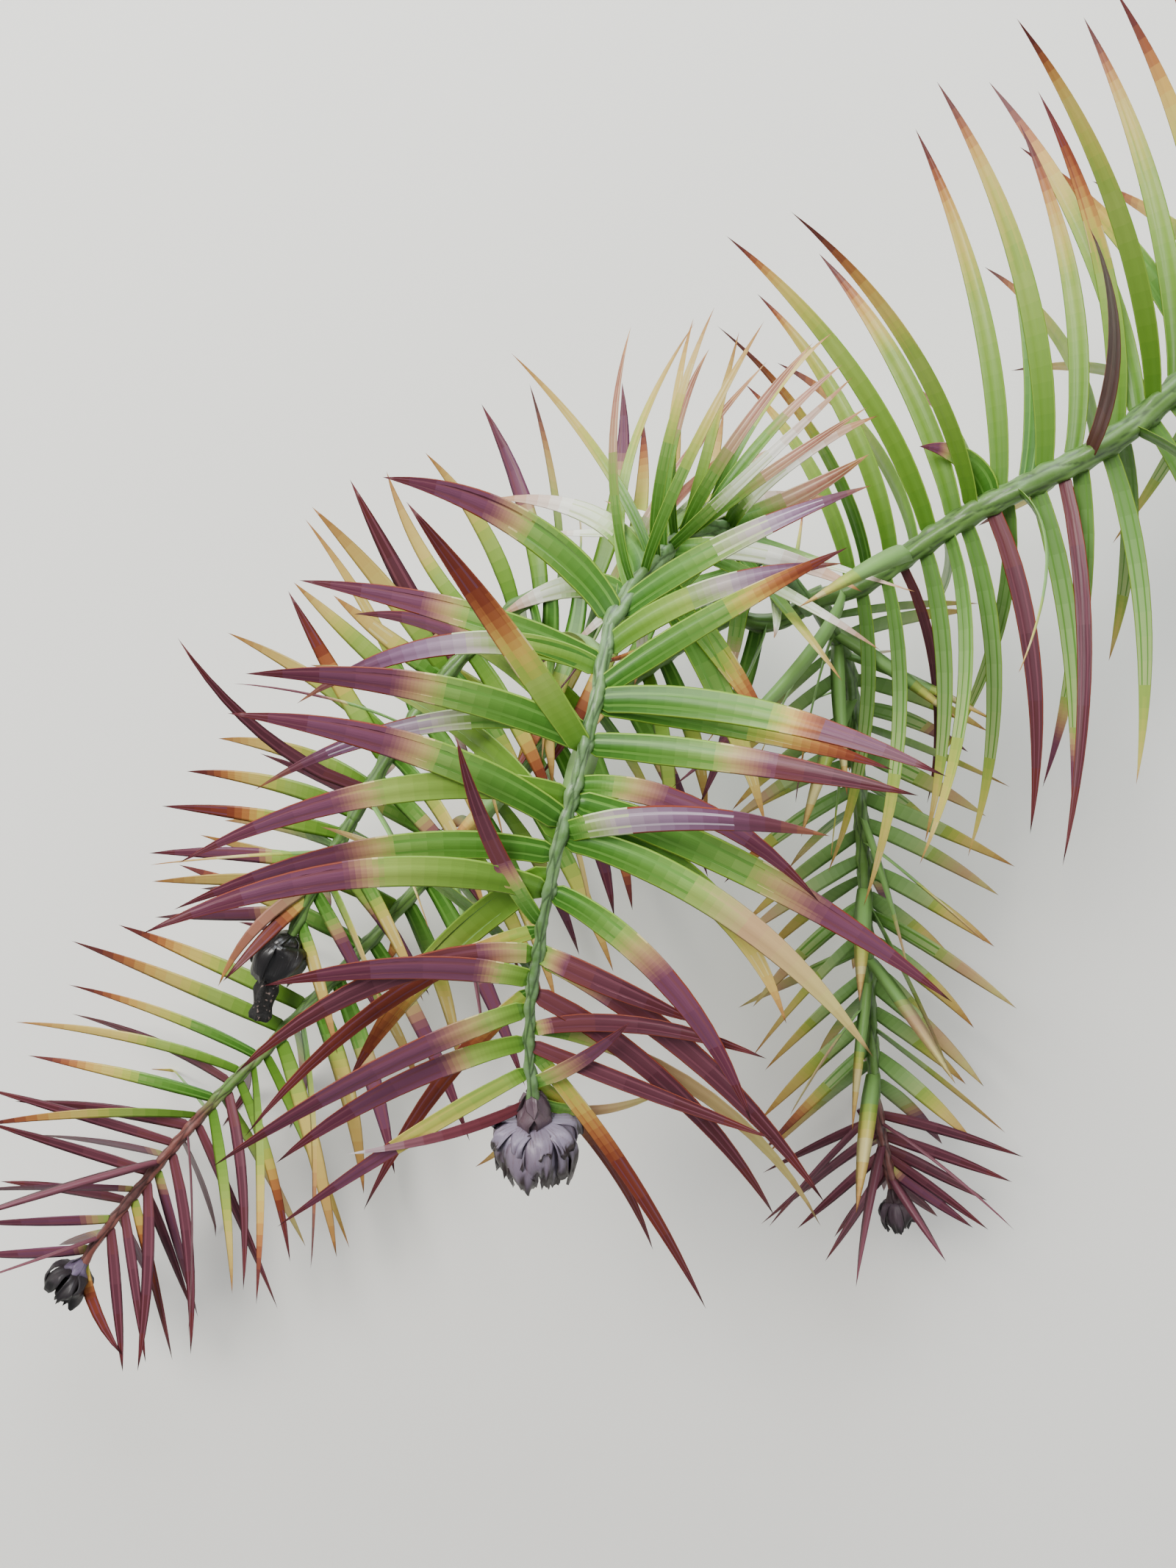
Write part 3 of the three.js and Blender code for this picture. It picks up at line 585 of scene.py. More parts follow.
# The pale line colour is partly the leaves' own pale lines and partly painted sheen streaks, where the leaves
# turn whitish and where they turn lilac.
leafTrims = {
    "rim": (118, 152, 50), "line": (86, 130, 50), "band": (112, 150, 80), "paleLine": (184, 194, 150),
    "dryRim": (116, 50, 34), "dryLine": (100, 55, 66), "bone": (190, 176, 116), "tanLine": (188, 158, 128),
    "lilacLine": (170, 154, 168),
}
dryRamps = ("purple", "rust", "dead", "dryRim", "dryLine", "gold")


def rampNames(ramp):
    return [f"{ramp}{k + 1}" for k in range(leafRamps[ramp][0])]


def leafColoursOf():
    colours = dict(leafTrims)
    for ramp, (steps, *anchors) in leafRamps.items():
        anchors = np.array(anchors, float)
        places = np.linspace(0, 1, len(anchors))
        for k, name in enumerate(rampNames(ramp)):
            share = k / (steps - 1)
            colours[name] = tuple(np.interp(share, places, anchors[:, part]) for part in range(3))
    return colours


leafColours = leafColoursOf()


def leafMaterial(name):
    dry = name.startswith(dryRamps)
    material, tree, shader = newMaterial("leaf_" + name, {
        "Base Color": colour(*leafColours[name]), "Roughness": 0.42, "Specular IOR Level": 0.22,
        "Coat Weight": 0.03 if dry else 0.06, "Coat Roughness": 0.14,
    })
    blade = addReader(tree, "blade")
    stretch = addNode(tree, "ShaderNodeVectorMath", {1: (2.6, 0.14, 7.3)}, operation="MULTIPLY")
    veins = addNode(tree, "ShaderNodeTexNoise", {"Scale": 1, "Detail": 2})
    bump = addNode(tree, "ShaderNodeBump", {"Strength": 0.3 if dry else 0.18, "Distance": 0.0002})
    link(
        tree,
        (blade, "Vector", stretch, 0), (stretch, "Vector", veins, "Vector"),
        (veins, "Fac", bump, "Height"), (bump, "Normal", shader, "Normal"),
    )
    return material


leafMaterials = {name: leafMaterial(name) for name in leafColours}

# Each way of turning: the ramp that the leaf turns through, the share of the leaf that this
# takes, and the ramp of the rest up to its tip
turnings = {
    "purple": ("toPurple", 0.13, "purple"),
    "rust": ("toRust", 0.28, "rust"),
    "strawPurple": ("toStraw", 0.4, "purple"),
    "slowPurple": ("toPurple", 0.34, "purple"),
    "gold": ("toStraw", 0.16, "gold"),
    "maroon": ("toPurple", 0.12, "dead"),
    "straw": ("toStraw", 0.16, "straw"),
    "tan": ("toTan", 0.16, "tan"),
    # This way turns through whitish steps of painted sky reflection, then to the leaves' own tan tips
    "silver": ("toSilver", 0.12, "silver"),
    "bronze": ("toBronze", 0.1, "bronze"),
    "rustPurple": ("toRust", 0.14, "purple"),
    "lilac": ("toLilac", 0.12, "lilac"),
    "dead": (None, 0, "dead"),
    "bleached": (None, 0, "bleached"),
}

# Colours of a leaf's margins, furrows and underside where they aren't the blade's own, with the
# ramps that they go with and the part of each ramp's steps
trims = [
    {
        "on": [("open", 0, None), ("lined", 0, None), ("faded", 0, None)],
        "margin": "rim", "furrow": "line", "band": "band",
    },
    # Margins, furrows and undersides of the whitening and lilac leaves: partly their own pale lines, partly
    # painted sheen streaks
    {
        "on": [("toSilver", 0, None), ("toLilac", 0, None), ("silver", 0, 3), ("lilac", 0, 1)],
        "margin": "paleLine", "furrow": "paleLine", "band": "paleLine",
    },
    {"on": [("lilac", 1, 8)], "margin": "dryRim", "furrow": "lilacLine", "band": "dryLine"},
    {"on": [("bronze", 0, None)], "margin": "tanLine", "furrow": "tanLine", "band": "tanLine"},
    {
        "on": [("purple", 0, None), ("rust", 0, None), ("dead", 0, None)],
        "margin": "dryRim", "furrow": "dryLine", "band": "dryLine",
    },
    {"on": [("straw", 0, 3)], "margin": "bone", "furrow": "bone", "band": "bone"},
    {"on": [("toPurple", 2, 5), ("toRust", 2, 5)], "margin": "bone", "band": "bone"},
]
trimOf = {
    colourName: trim
    for trim in trims for ramp, first, last in trim["on"]
    for colourName in rampNames(ramp)[first:last]
}

# How green a leaf can be and by where it has turned, as shares of it, and how much slower or
# faster than its way it turns
turningLimits = {"green": (0.03, 0.85), "turnedBy": 0.94, "pace": (0.7, 1.6)}


# The zones of colour along a leaf: each one's end as a share of the leaf, its colour, and whether
# the leaf is turning there
def zonesOf(way, green, fresh, slow):
    through, takes, rest = turnings[way]
    zones = []

    def addRamp(ramp, begin, end, turns):
        names = rampNames(ramp)
        for k, name in enumerate(names):
            zones.append((lerp(begin, end, (k + 1) / len(names)), name, turns))

    if not through:
        addRamp(rest, 0, 1, False)
        return zones
    turned = min(green + takes * slow, turningLimits["turnedBy"])
    addRamp(fresh, 0, green, False)
    addRamp(through, green, turned, True)
    addRamp(rest, turned, 1, False)
    return zones


# The leaf's outline and bend, as in the frame
leafShape = {
    "steps": 12, "widestAt": 0.22, "narrowing": 1.35, "frameBase": 0.5,
    "hidden": 0.35, "shown": 0.8, "shownAt": 0.035, "fullness": 2.25,
    "keel": 0.95, "tipKeel": 0.25, "flatTop": 0.55, "faceForward": 0.25, "bendEase": 0.8,
    "thickness": 0.6, "rootKeel": 0.5, "cup": (-0.08, 0.14), "cupCurve": 1.5, "foundWithin": 0.4,
}
stray = {"spiral": 0.12, "angle": 7, "bend": 8, "sag": 0.08, "twist": 0.35, "length": 0.09, "width": 0.07}

# Points round a leaf's section, as shares of its half width and of its thickness, starting at
# its left margin, over the top. The fine section has a furrow on each side of the midrib. Its
# rings are no further apart than longest and no closer than closest, as shares of the leaf.
sections = {
    True: {
        "across": (-1, -0.88, -0.5, -0.32, 0.32, 0.5, 0.88, 1, 0),
        "rise": (0, 0.04, -0.08, 0.02, 0.02, -0.08, 0.04, 0, 0),
        "under": (0, 0, 0, 0, 0, 0, 0, 0, 1),
        "strips": ("margin", "blade", "furrow", "blade", "furrow", "blade", "margin", "band", "band"),
        "longest": 0.09, "closest": 0.009,
    },
    False: {
        "across": (-1, -0.62, -0.36, 0.36, 0.62, 1, 0),
        "rise": (0, -0.03, 0.02, 0.02, -0.03, 0, 0),
        "under": (0, 0, 0, 0, 0, 0, 1),
        "strips": ("blade", "furrow", "blade", "furrow", "blade", "band", "band"),
        "longest": 0.17, "closest": 0.032,
    },
}


def halfWidth(width, t, base, power):
    t = np.asarray(t, float)
    widest = leafShape["widestAt"]
    widening = lerp(base, 1, t / widest)
    narrowing = 1 - np.clip((t - widest) / (1 - widest), 0, 1) ** power
    return width / 2 * np.where(t < widest, widening, narrowing)


# The grown leaf starts narrow inside the stem and comes out of it at nearly its full width
def grownHalfWidth(width, t):
    inside = np.clip(t / leafShape["shownAt"], 0, 1)
    full = halfWidth(width, t, leafShape["shown"], leafShape["fullness"])
    return full * lerp(leafShape["hidden"] / leafShape["shown"], 1, inside)


def planLeaves(name):
    shoot, total = shoots[name], stems[name].total
    random = seeded(shoot["seed"])

    def wobble(size):
        return (random() - 0.5) * 2 * size

    leaves = []
    count = int((total - shoot["from"] - shoot["until"]) / shoot["spacing"]) + 1
    for i in range(count):
        share = (shoot["from"] + i * shoot["spacing"]) / total
        spiral = shoot["turn"] + i * goldenAngle + wobble(stray["spiral"])
        azimuth = spiral - along(shoot["ranks"], share) * math.sin(2 * spiral)
        leftShare = (1 + math.cos(azimuth)) / 2
        angle = lerp(along(shoot["right"], share), along(shoot["left"], share), leftShare)
        leaves.append({
            "share": share,
            "azimuth": azimuth,
            "angle": math.radians(angle + wobble(stray["angle"])),
            "bend": math.radians(along(shoot["bend"], share) + wobble(stray["bend"])),
            "sag": along(shoot["sag"], share) + wobble(stray["sag"]),
            "twist": wobble(stray["twist"]),
            "length": along(shoot["length"], share) * (1 + wobble(stray["length"])),
            "width": shoot["width"] * (1 + wobble(stray["width"])),
        })
    for extra in shoot.get("extras", []):
        turned = {key: math.radians(extra[key]) for key in ("azimuth", "angle", "bend")}
        leaves.append({**extra, **turned, "sag": 0, "twist": 0})
    return leaves


def turnAbout(vector, axis, angle):
    sine, cosine = math.sin(angle), math.cos(angle)
    return vector * cosine + np.cross(axis, vector) * sine + axis * (axis @ vector) * (1 - cosine)


# A leaf's middle line, with the way across it and the way that its face looks
def leafLine(name, leaf):
    stem, steps = stems[name], leafShape["steps"]
    tangent, upward, leftward = (vector[0] for vector in stem.frameAt(leaf["share"]))
    rise, side = math.sin(leaf["azimuth"]), math.cos(leaf["azimuth"])
    outward = unit(leftward * side + upward * (rise * leafShape["flatTop"] if rise > 0 else rise))
    facing = tangent * lerp(leafShape["faceForward"], 1, rise ** 2) + upward * side ** 2
    facing[2] += leaf.get("level", 0)
    centre = stem.pointAt(leaf["share"])[0]
    centres, acrosses, faces = [], [], []
    for step in range(steps + 1):
        t = step / steps
        angle = leaf["angle"] - leaf["bend"] * t ** leafShape["bendEase"]
        way = tangent * math.cos(angle) + outward * math.sin(angle)
        way[2] += leaf["sag"] * t
        way = unit(way)
        across = turnAbout(unit(np.cross(way, facing)), way, leaf["twist"] * t)
        face = np.cross(across, way)
        keel = lerp(leafShape["keel"], leafShape["tipKeel"], t)
        half = halfWidth(leaf["width"], t, leafShape["frameBase"], leafShape["narrowing"])
        lowest = half * abs(across[2]) + keel * abs(face[2])
        centres.append([centre[0], centre[1], max(centre[2], lowest)])
        acrosses.append(across)
        faces.append(face)
        centre = centre + way * leaf["length"] / steps
    return np.array(centres), np.array(acrosses), np.array(faces)


# Of the planned leaves, only those that the frame's solid holds: their tips are on its mesh
def keptLeaves(name):
    node = frame["nodes"][name]
    tree = KDTree(len(node.data.vertices))
    for i, vertex in enumerate(node.data.vertices):
        tree.insert(vertex.co, i)
    tree.balance()
    kept = []
    for leaf in planLeaves(name):
        tip = (leafLine(name, leaf)[0][-1] + origin) * mm
        if tree.find(Vector(tip))[2] < leafShape["foundWithin"] * mm:
            kept.append(leaf)
    return kept


# The kept leaves with their notes, some of them placed anew, then the leaves that fill the fan
def allLeaves(name):
    leaves = keptLeaves(name)
    for number, note in leafNotes.get(name, {}).items():
        leaves[number].update(note)
    for leaf in leaves:
        rank = ageing[name]["left" if math.cos(leaf["azimuth"]) > 0 else "right"]
        leaf["width"] *= ageing[name]["slim"] * rank.get("slim", 1) * leaf.get("slim", 1)
        leaf["angle"] *= ageing[name].get("lean", 1)
    for row in placedLeaves.get(name, []):
        placed = dict(zip(placedColumns, row))
        number = placed.pop("number")
        for key in ("azimuth", "angle", "bend"):
            placed[key] = math.radians(placed[key])
        if number is None:
            leaves.append({"twist": 0, **placed})
        else:
            leaves[number].update(placed, level=faceUp)
    return leaves


def pickWay(ways, chance):
    for way, share in ways.items():
        chance -= share
        if chance <= 0:
            return way
    return way


# Rings stand where the colours change. Gives the rings' shares of the leaf and the number of the
# zone that each ring starts.
def stationsOf(zones, longest, closest):
    stations, started = [0, leafShape["shownAt"]], [0]
    for number, (end, name, turns) in enumerate(zones):
        apart = end - stations[-1]
        if apart < closest and number + 1 < len(zones):
            continue
        pieces = max(1, math.ceil(apart / longest))
        begin = stations[-1]
        stations += [begin + apart * (k + 1) / pieces for k in range(pieces)]
        started += [number] * pieces
    stations[-1] = 1
    return np.array(stations), started


def colourOf(zones, number, strip, lined, early):
    shifted = min(max(number + early, 0), len(zones) - 1)
    if zones[number][2] and zones[shifted][2]:
        number = shifted
    name = zones[number][1]
    if strip == "furrow" and not lined and not name.startswith(dryRamps):
        return name
    return trimOf.get(name, {}).get(strip, name)


# One leaf as arrays: its points, its faces, each face's colour and the surface's own coordinates
def leafArrays(number, leaf, line, zones, fine, lined, random):
    section = sections[fine]
    across, rise, under = (np.array(section[key]) for key in ("across", "rise", "under"))
    stations, started = stationsOf(zones, section["longest"], section["closest"])
    sides, rings = len(across), len(stations) - 1
    centres, acrosses, faces = line
    middle = throughPoints(centres, stations)
    sideways, facing = unit(throughPoints(acrosses, stations)), unit(throughPoints(faces, stations))
    half = grownHalfWidth(leaf["width"], stations)
    keel = lerp(leafShape["keel"], leafShape["tipKeel"], stations) * leafShape["thickness"]
    keel[0] *= leafShape["rootKeel"]
    cup = lerp(*leafShape["cup"], random())
    height = rise + cup * np.abs(across) ** leafShape["cupCurve"]
    points = []
    for i in range(rings):
        points.append(
            middle[i] + np.outer(across * half[i], sideways[i])
            + np.outer(height * half[i] * (under == 0) - under * keel[i], facing[i])
        )
    points = np.vstack(points + [middle[-1:]])
    quads, tips, shades = [], [], []
    earlier = [(int(random() * 3) - 1) * fine for strip in section["strips"]]
    for i in range(rings):
        for k in range(sides):
            after = (k + 1) % sides
            a, b = i * sides + k, i * sides + after
            if i + 1 < rings:
                quads.append((a, b, b + sides, a + sides))
            else:
                tips.append((a, b, rings * sides))
            shades.append(colourOf(zones, started[i], section["strips"][k], lined, earlier[k]))
    base = [tuple(range(sides - 1, -1, -1))]
    shades.append(shades[0])
    shares = np.append(np.repeat(stations[:-1], sides), 1)
    blade = np.stack([
        np.append(np.tile(across, rings), 0) * leaf["width"] / 2,
        shares * leaf["length"],
        np.full(len(points), float(number)),
    ], axis=1)
    return points, quads + tips + base, shades, blade


def addPiece(name, points, faces, node):
    mesh = bpy.data.meshes.new(name)
    mesh.from_pydata([tuple(point) for point in points], [], faces)
    piece = bpy.data.objects.new(name, mesh)
    bpy.context.scene.collection.objects.link(piece)
    mesh.shade_smooth()
    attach(piece, "root")
    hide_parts(node)
    return piece


def addAttribute(mesh, name, kind, values):
    attribute = mesh.attributes.new(name, kind, "POINT")
    key = "vector" if kind == "FLOAT_VECTOR" else "value"
    attribute.data.foreach_set(key, np.ravel(values).astype(np.float32))


# Adding this to a chance in turn spreads the ways of turning evenly along a rank
evenSpread = 0.618


def growLeaves(name):
    look = ageing[name]
    random = seeded(shoots[name]["seed"] * 7 + 3)
    points, faces, shades, blades = [], [], [], []
    start = 0
    leaves = allLeaves(name)
    chances = {side: random() for side in ("left", "right")}
    for number, leaf in enumerate(leaves):
        side = "left" if math.cos(leaf["azimuth"]) > 0 else "right"
        rank = look[side]
        chances[side] = (chances[side] + evenSpread) % 1
        green = along(rank["green"], leaf["share"]) + (random() - 0.5) * 2 * look["spread"]
        least, most = turningLimits["green"]
        green = leaf.get("green", min(max(green, least), most))
        way = leaf.get("way", pickWay(rank["ways"], chances[side]))
        lined = random() < rank["lined"]
        line = leafLine(name, leaf)
        fresh = rank.get("fresh", "lined" if lined else "open")
        zones = zonesOf(way, green, fresh, lerp(*turningLimits["pace"], random()))
        made = leafArrays(number, leaf, line, zones, look["fine"], lined, random)
        points.append(made[0])
        faces += [tuple(start + corner for corner in face) for face in made[1]]
        shades += made[2]
        blades.append(made[3])
        start += len(made[0])
    piece = addPiece(name + "_leaves", inFrame(np.vstack(points)), faces, name)
    used = [colourName for colourName in leafColours if colourName in set(shades)]
    for colourName in used:
        piece.data.materials.append(leafMaterials[colourName])
    piece.data.polygons.foreach_set("material_index", [used.index(shade) for shade in shades])
    addAttribute(piece.data, "blade", "FLOAT_VECTOR", np.vstack(blades))
    print(name, len(leaves), "leaves,", len(faces), "faces,", len(used), "colours")
    return leaves


grown = {name: growLeaves(name) for name in shoots}


# Stem finishes: pads of two close colours between dark seams, with a waxy bloom. fresh is the
# colour that a stem has before the share of its length where it dries.
stemLooks = {
    "green": {
        "pads": ((96, 128, 72), (74, 112, 50)), "seam": (38, 58, 26),
        "bloom": (130, 158, 122), "bloomed": 0.5,
    },
    "grass": {
        "pads": ((82, 118, 44), (66, 102, 34)), "seam": (36, 54, 20), "bloom": (112, 142, 86), "bloomed": 0.4,
    },
    "maroon": {
        "pads": ((112, 60, 50), (86, 46, 44)), "seam": (40, 20, 18), "bloom": (146, 104, 98), "bloomed": 0.35,
        "fresh": (82, 118, 44),
    },
    "bark": {
        "pads": ((118, 106, 66), (94, 112, 54)), "seam": (50, 38, 26),
        "bloom": (146, 136, 108), "bloomed": 0.4,
    },
}
stemWear = {
    "main_shoot": "grass", "central_shoot_back": "green", "central_shoot_front": "green",
    "right_shoot": "grass", "right_tip": "maroon", "upper_left_shoot": "grass", "upper_left_tip": "grass",
    "lower_left_shoot": "grass", "lower_left_tip": "maroon",
}
driesAt = {"lower_left_tip": 0.3, "right_tip": 0.02}
# Each stem's radius, as a share of the frame's
slimmer = {
    "main_shoot": 0.74, "central_shoot_back": 0.64, "central_shoot_front": 0.52, "right_shoot": 0.76,
    "right_tip": 0.76, "upper_left_shoot": 0.78, "upper_left_tip": 0.76, "lower_left_shoot": 0.78,
    "lower_left_tip": 0.7,
}
pads = {
    "long": 8, "wide": 1.2, "behind": 3, "rise": 0.2, "round": 0.8, "seam": 0.24, "seamCore": 0.04,
    "knee": 0.42, "kneeBack": 0.4, "kneeLong": 1.5, "kneeWide": 0.9,
}
stemMesh = {
    "step": 0.4, "sides": 36, "sink": 2.4, "past": 1.2, "rounding": 1.6, "endLeast": 0.02,
    "neck": 0.8, "neckLong": 1, "swelling": 0.25, "swellingLong": 3, "driesOver": 0.06,
    "swollen": ("central_shoot_back", "right_shoot", "upper_left_shoot", "lower_left_shoot"),
}


def stemMaterial(name):
    look = stemLooks[name]
    material, tree, shader = newMaterial("stem_" + name, {"Roughness": 0.5, "Coat Weight": 0.12})
    tint, seam = (addReader(tree, field) for field in ("tint", "seam"))
    where = addNode(tree, "ShaderNodeTexCoord")
    noise = addNode(tree, "ShaderNodeTexNoise", {"Scale": 420, "Detail": 4, "Roughness": 0.6})
    edge = {"From Min": 0.4, "From Max": 0.75, "To Max": look["bloomed"]}
    bloomEdge = addNode(tree, "ShaderNodeMapRange", edge)
    padColour = addMix(tree, A=look["pads"][0], B=look["pads"][1])
    bloomed, seamed = addMix(tree, B=look["bloom"]), addMix(tree, B=look["seam"])
    seamDepth = addNode(tree, "ShaderNodeMath", {1: 0.8}, operation="MULTIPLY")
    bump = addNode(tree, "ShaderNodeBump", {"Strength": 0.25, "Distance": 0.0002})
    turned = padColour
    if "fresh" in look:
        dried, turned = addReader(tree, "dried"), addMix(tree, A=look["fresh"])
        link(tree, (padColour, "Result", turned, "B"), (dried, "Fac", turned, "Factor"))
    link(
        tree,
        (where, "Object", noise, "Vector"), (tint, "Fac", padColour, "Factor"),
        (noise, "Fac", bloomEdge, "Value"), (bloomEdge, "Result", bloomed, "Factor"),
        (turned, "Result", bloomed, "A"), (bloomed, "Result", seamed, "A"),
        (seam, "Fac", seamDepth, 0), (seamDepth, "Value", seamed, "Factor"),
        (seamed, "Result", shader, "Base Color"),
        (noise, "Fac", bump, "Height"), (bump, "Normal", shader, "Normal"),
    )
    return material


stemMaterials = {name: stemMaterial(name) for name in stemLooks}


# Each leaf's base runs down the stem as a long pad. Gives every point's height over the stem,
# how near it is to a seam between two pads, and its pad's tint.
def padField(places, azimuths, radius, leaves, total, seed):
    random = seeded(seed)
    rows = np.array([(leaf["share"] * total, leaf["azimuth"], random()) for leaf in leaves])
    lengthwise = (places[:, None] - (rows[:, 0] - pads["behind"])) / pads["long"]
    turned = azimuths[:, None] - rows[:, 1]
    turned = (turned + math.pi) % (2 * math.pi) - math.pi
    sidewise = turned * radius[:, None] / pads["wide"]
    distance = np.hypot(lengthwise, sidewise)
    first, second = np.argsort(distance, axis=1)[:, :2].T
    every = np.arange(len(places))
    between = np.stack([
        lengthwise[every, first] - lengthwise[every, second],
        sidewise[every, first] - sidewise[every, second],
    ])
    apart = np.maximum(np.hypot(*between), 1e-6)
    gap = (distance[every, second] ** 2 - distance[every, first] ** 2) / (2 * apart)
    edge = gap / np.hypot(between[0] / apart / pads["long"], between[1] / apart / pads["wide"])
    height = pads["rise"] * smooth(0, pads["round"], edge)
    return height, 1 - smooth(pads["seamCore"], pads["seam"], edge), rows[first, 2]


# The swelling under each leaf where it leaves the stem
def kneeField(places, azimuths, radius, leaves, total):
    swelling = np.zeros(len(places))
    for leaf in leaves:
        lengthwise = (places - leaf["share"] * total + pads["kneeBack"]) / pads["kneeLong"]
        turned = (azimuths - leaf["azimuth"] + math.pi) % (2 * math.pi) - math.pi
        sidewise = turned * radius / pads["kneeWide"]
        swelling = np.maximum(swelling, pads["knee"] * np.exp(-lengthwise ** 2 - sidewise ** 2))
    return swelling


# The faces of a closed tube whose points run ring by ring
def tubeFaces(rings, sides):
    faces = [
        (i * sides + k, i * sides + (k + 1) % sides, (i + 1) * sides + (k + 1) % sides, (i + 1) * sides + k)
        for i in range(rings - 1) for k in range(sides)
    ]
    faces.append(tuple(range(sides - 1, -1, -1)))
    faces.append(tuple((rings - 1) * sides + k for k in range(sides)))
    return faces


def tube(centres, leftward, upward, radii):
    sides = stemMesh["sides"]
    angles = np.arange(sides) / sides * 2 * math.pi
    around = (
        -np.cos(angles)[None, :, None] * leftward[:, None, :]
        + np.sin(angles)[None, :, None] * upward[:, None, :]
    )
    points = centres[:, None, :] + around * radii[:, :, None]
    return points.reshape(-1, 3), tubeFaces(len(centres), sides)


# The pads that the cut stem would go on with, at places before the main shoot's start
def cutPads():
    shoot, total = shoots["main_shoot"], stems["main_shoot"].total
    count = int((cutStub["length"] + shoot["from"]) / shoot["spacing"])
    return [
        {"share": (shoot["from"] - i * shoot["spacing"]) / total, "azimuth": shoot["turn"] - i * goldenAngle}
        for i in range(1, count + 1)
    ]


# A shoot that goes on from another one starts inside it, along its course
goesOnFrom = {
    "central_shoot_front": "central_shoot_back", "right_tip": "right_shoot",
    "upper_left_tip": "upper_left_shoot", "lower_left_tip": "lower_left_shoot",
}


def stemPath(name, places):
    stem = stems[name]
    inside = np.clip(places / stem.total, 0, 1)
    tangent, upward, leftward = stem.frameAt(inside)
    centres = stem.pointAt(inside) + tangent * (places - inside * stem.total)[:, None]
    before = places < 0
    if name in goesOnFrom:
        carrier = stems[goesOnFrom[name]]
        centres[before] = carrier.pointAt(1 + places[before] / carrier.total)
    return inside, centres, upward, leftward


# A stem from a little inside what carries it to a rounded end
def growStem(name):
    shoot, total = shoots[name], stems[name].total
    leaves = planLeaves(name)
    if name == "main_shoot":
        leaves += cutPads()
    past, sink, sides = stemMesh["past"], stemMesh["sink"], stemMesh["sides"]
    places = np.arange(-sink, total + past, stemMesh["step"])
    inside, centres, upward, leftward = stemPath(name, places)
    plain = lerp(*shoot["radii"], inside) * slimmer[name]
    if name in stemMesh["swollen"]:
        fading = np.exp(-np.maximum(places, 0) / stemMesh["swellingLong"])
        plain = plain * (1 + stemMesh["swelling"] * fading)
    if name in goesOnFrom:
        plain = plain * lerp(stemMesh["neck"], 1, smooth(-sink, stemMesh["neckLong"], places))
    closing = np.sqrt(np.clip((total + past - places) / stemMesh["rounding"], stemMesh["endLeast"], 1))
    azimuths = math.pi - np.arange(sides) / sides * 2 * math.pi
    spots = np.repeat(places, sides), np.tile(azimuths, len(places)), np.repeat(plain, sides)
    height, seam, tint = padField(*spots, leaves, total, shoot["seed"] + 1)
    height = height + kneeField(*spots, grown[name], total)
    radii = (plain[:, None] + height.reshape(len(places), sides)) * closing[:, None]
    points, faces = tube(centres, leftward, upward, radii)
    piece = addPiece(name + "_stem", inFrame(points), faces, name)
    piece.data.materials.append(stemMaterials[stemWear[name]])
    addAttribute(piece.data, "seam", "FLOAT", seam)
    addAttribute(piece.data, "tint", "FLOAT", tint)
    if name in driesAt:
        over = stemMesh["driesOver"]
        dried = smooth(driesAt[name] - over, driesAt[name] + over, inside)
        addAttribute(piece.data, "dried", "FLOAT", np.repeat(dried, sides))


for name in shoots:
    growStem(name)
print("stems grown")


# Selects a mesh's edges or faces by a test, with the object active and in edit mode afterwards
def selectWhere(piece, kind, test):
    bpy.ops.object.mode_set(mode="EDIT")
    bpy.ops.mesh.select_mode(type=kind)
    bpy.ops.mesh.select_all(action="DESELECT")
    bpy.ops.object.mode_set(mode="OBJECT")
    items = piece.data.edges if kind == "EDGE" else piece.data.polygons
    for item in items:
        item.select = test(item)
    bpy.ops.object.mode_set(mode="EDIT")


# A rod along z between two heights, cut into rings
def addRod(name, look, radius, low, high):
    if bpy.context.object and bpy.context.object.mode != "OBJECT":
        bpy.ops.object.mode_set(mode="OBJECT")
    bpy.ops.object.select_all(action="DESELECT")
    bpy.ops.mesh.primitive_cylinder_add(
        vertices=look["sides"], radius=radius * mm, depth=(high - low) * mm,
        location=(0, 0, (high + low) / 2 * mm),
    )
    piece = bpy.context.object
    bpy.ops.object.transform_apply(location=True)
    piece.name = name
    vertices = piece.data.vertices
    longest = (high - low) / 2 * mm
    selectWhere(piece, "EDGE", lambda edge: abs(
        vertices[edge.vertices[0]].co.z - vertices[edge.vertices[1]].co.z) > longest)
    bpy.ops.mesh.subdivide(number_cuts=look["cuts"])
    return piece


def shapeArray(piece):
    flat = np.zeros(len(piece.data.vertices) * 3)
    piece.data.vertices.foreach_get("co", flat)
    return flat.reshape(-1, 3) / mm


# Points of a shape made along z, as they stand in the frame
def stoodAlong(points, start, tangent, upward, leftward):
    return inFrame(
        start + np.outer(points[:, 2], tangent) + np.outer(points[:, 1], upward)
        - np.outer(points[:, 0], leftward)
    )


def placeAlong(piece, points, *stand):
    piece.data.vertices.foreach_set("co", stoodAlong(points, *stand).ravel())
    piece.data.update()


# Cut stem: the main shoot's bark runs on over it to a flat cut with rings and pith
cutLook = {
    "sides": 36, "cuts": 46, "rings": (0.32, 0.12, 0.5, 0.16, 0.6, 0.14, 0.62, 0.2), "pith": 0.24,
    "rimFrom": 0.98, "barkDeep": 0.3, "woodIn": 0.1, "basesFromShoot": 3, "facesDown": -0.9,
    "sawn": {"deep": 0.05, "across": 5, "along": 1.3},
    "wood": (206, 196, 150), "ring": (172, 156, 104), "bark": (84, 92, 46), "pithColour": (150, 110, 62),
    "marks": [
        (0.12, "pithColour"), (0.17, "wood"), (0.34, "wood"), (0.38, "ring"), (0.42, "wood"),
        (0.6, "wood"), (0.64, "ring"), (0.68, "wood"), (0.84, "wood"), (0.88, "ring"), (0.91, "bark"),
    ],
}


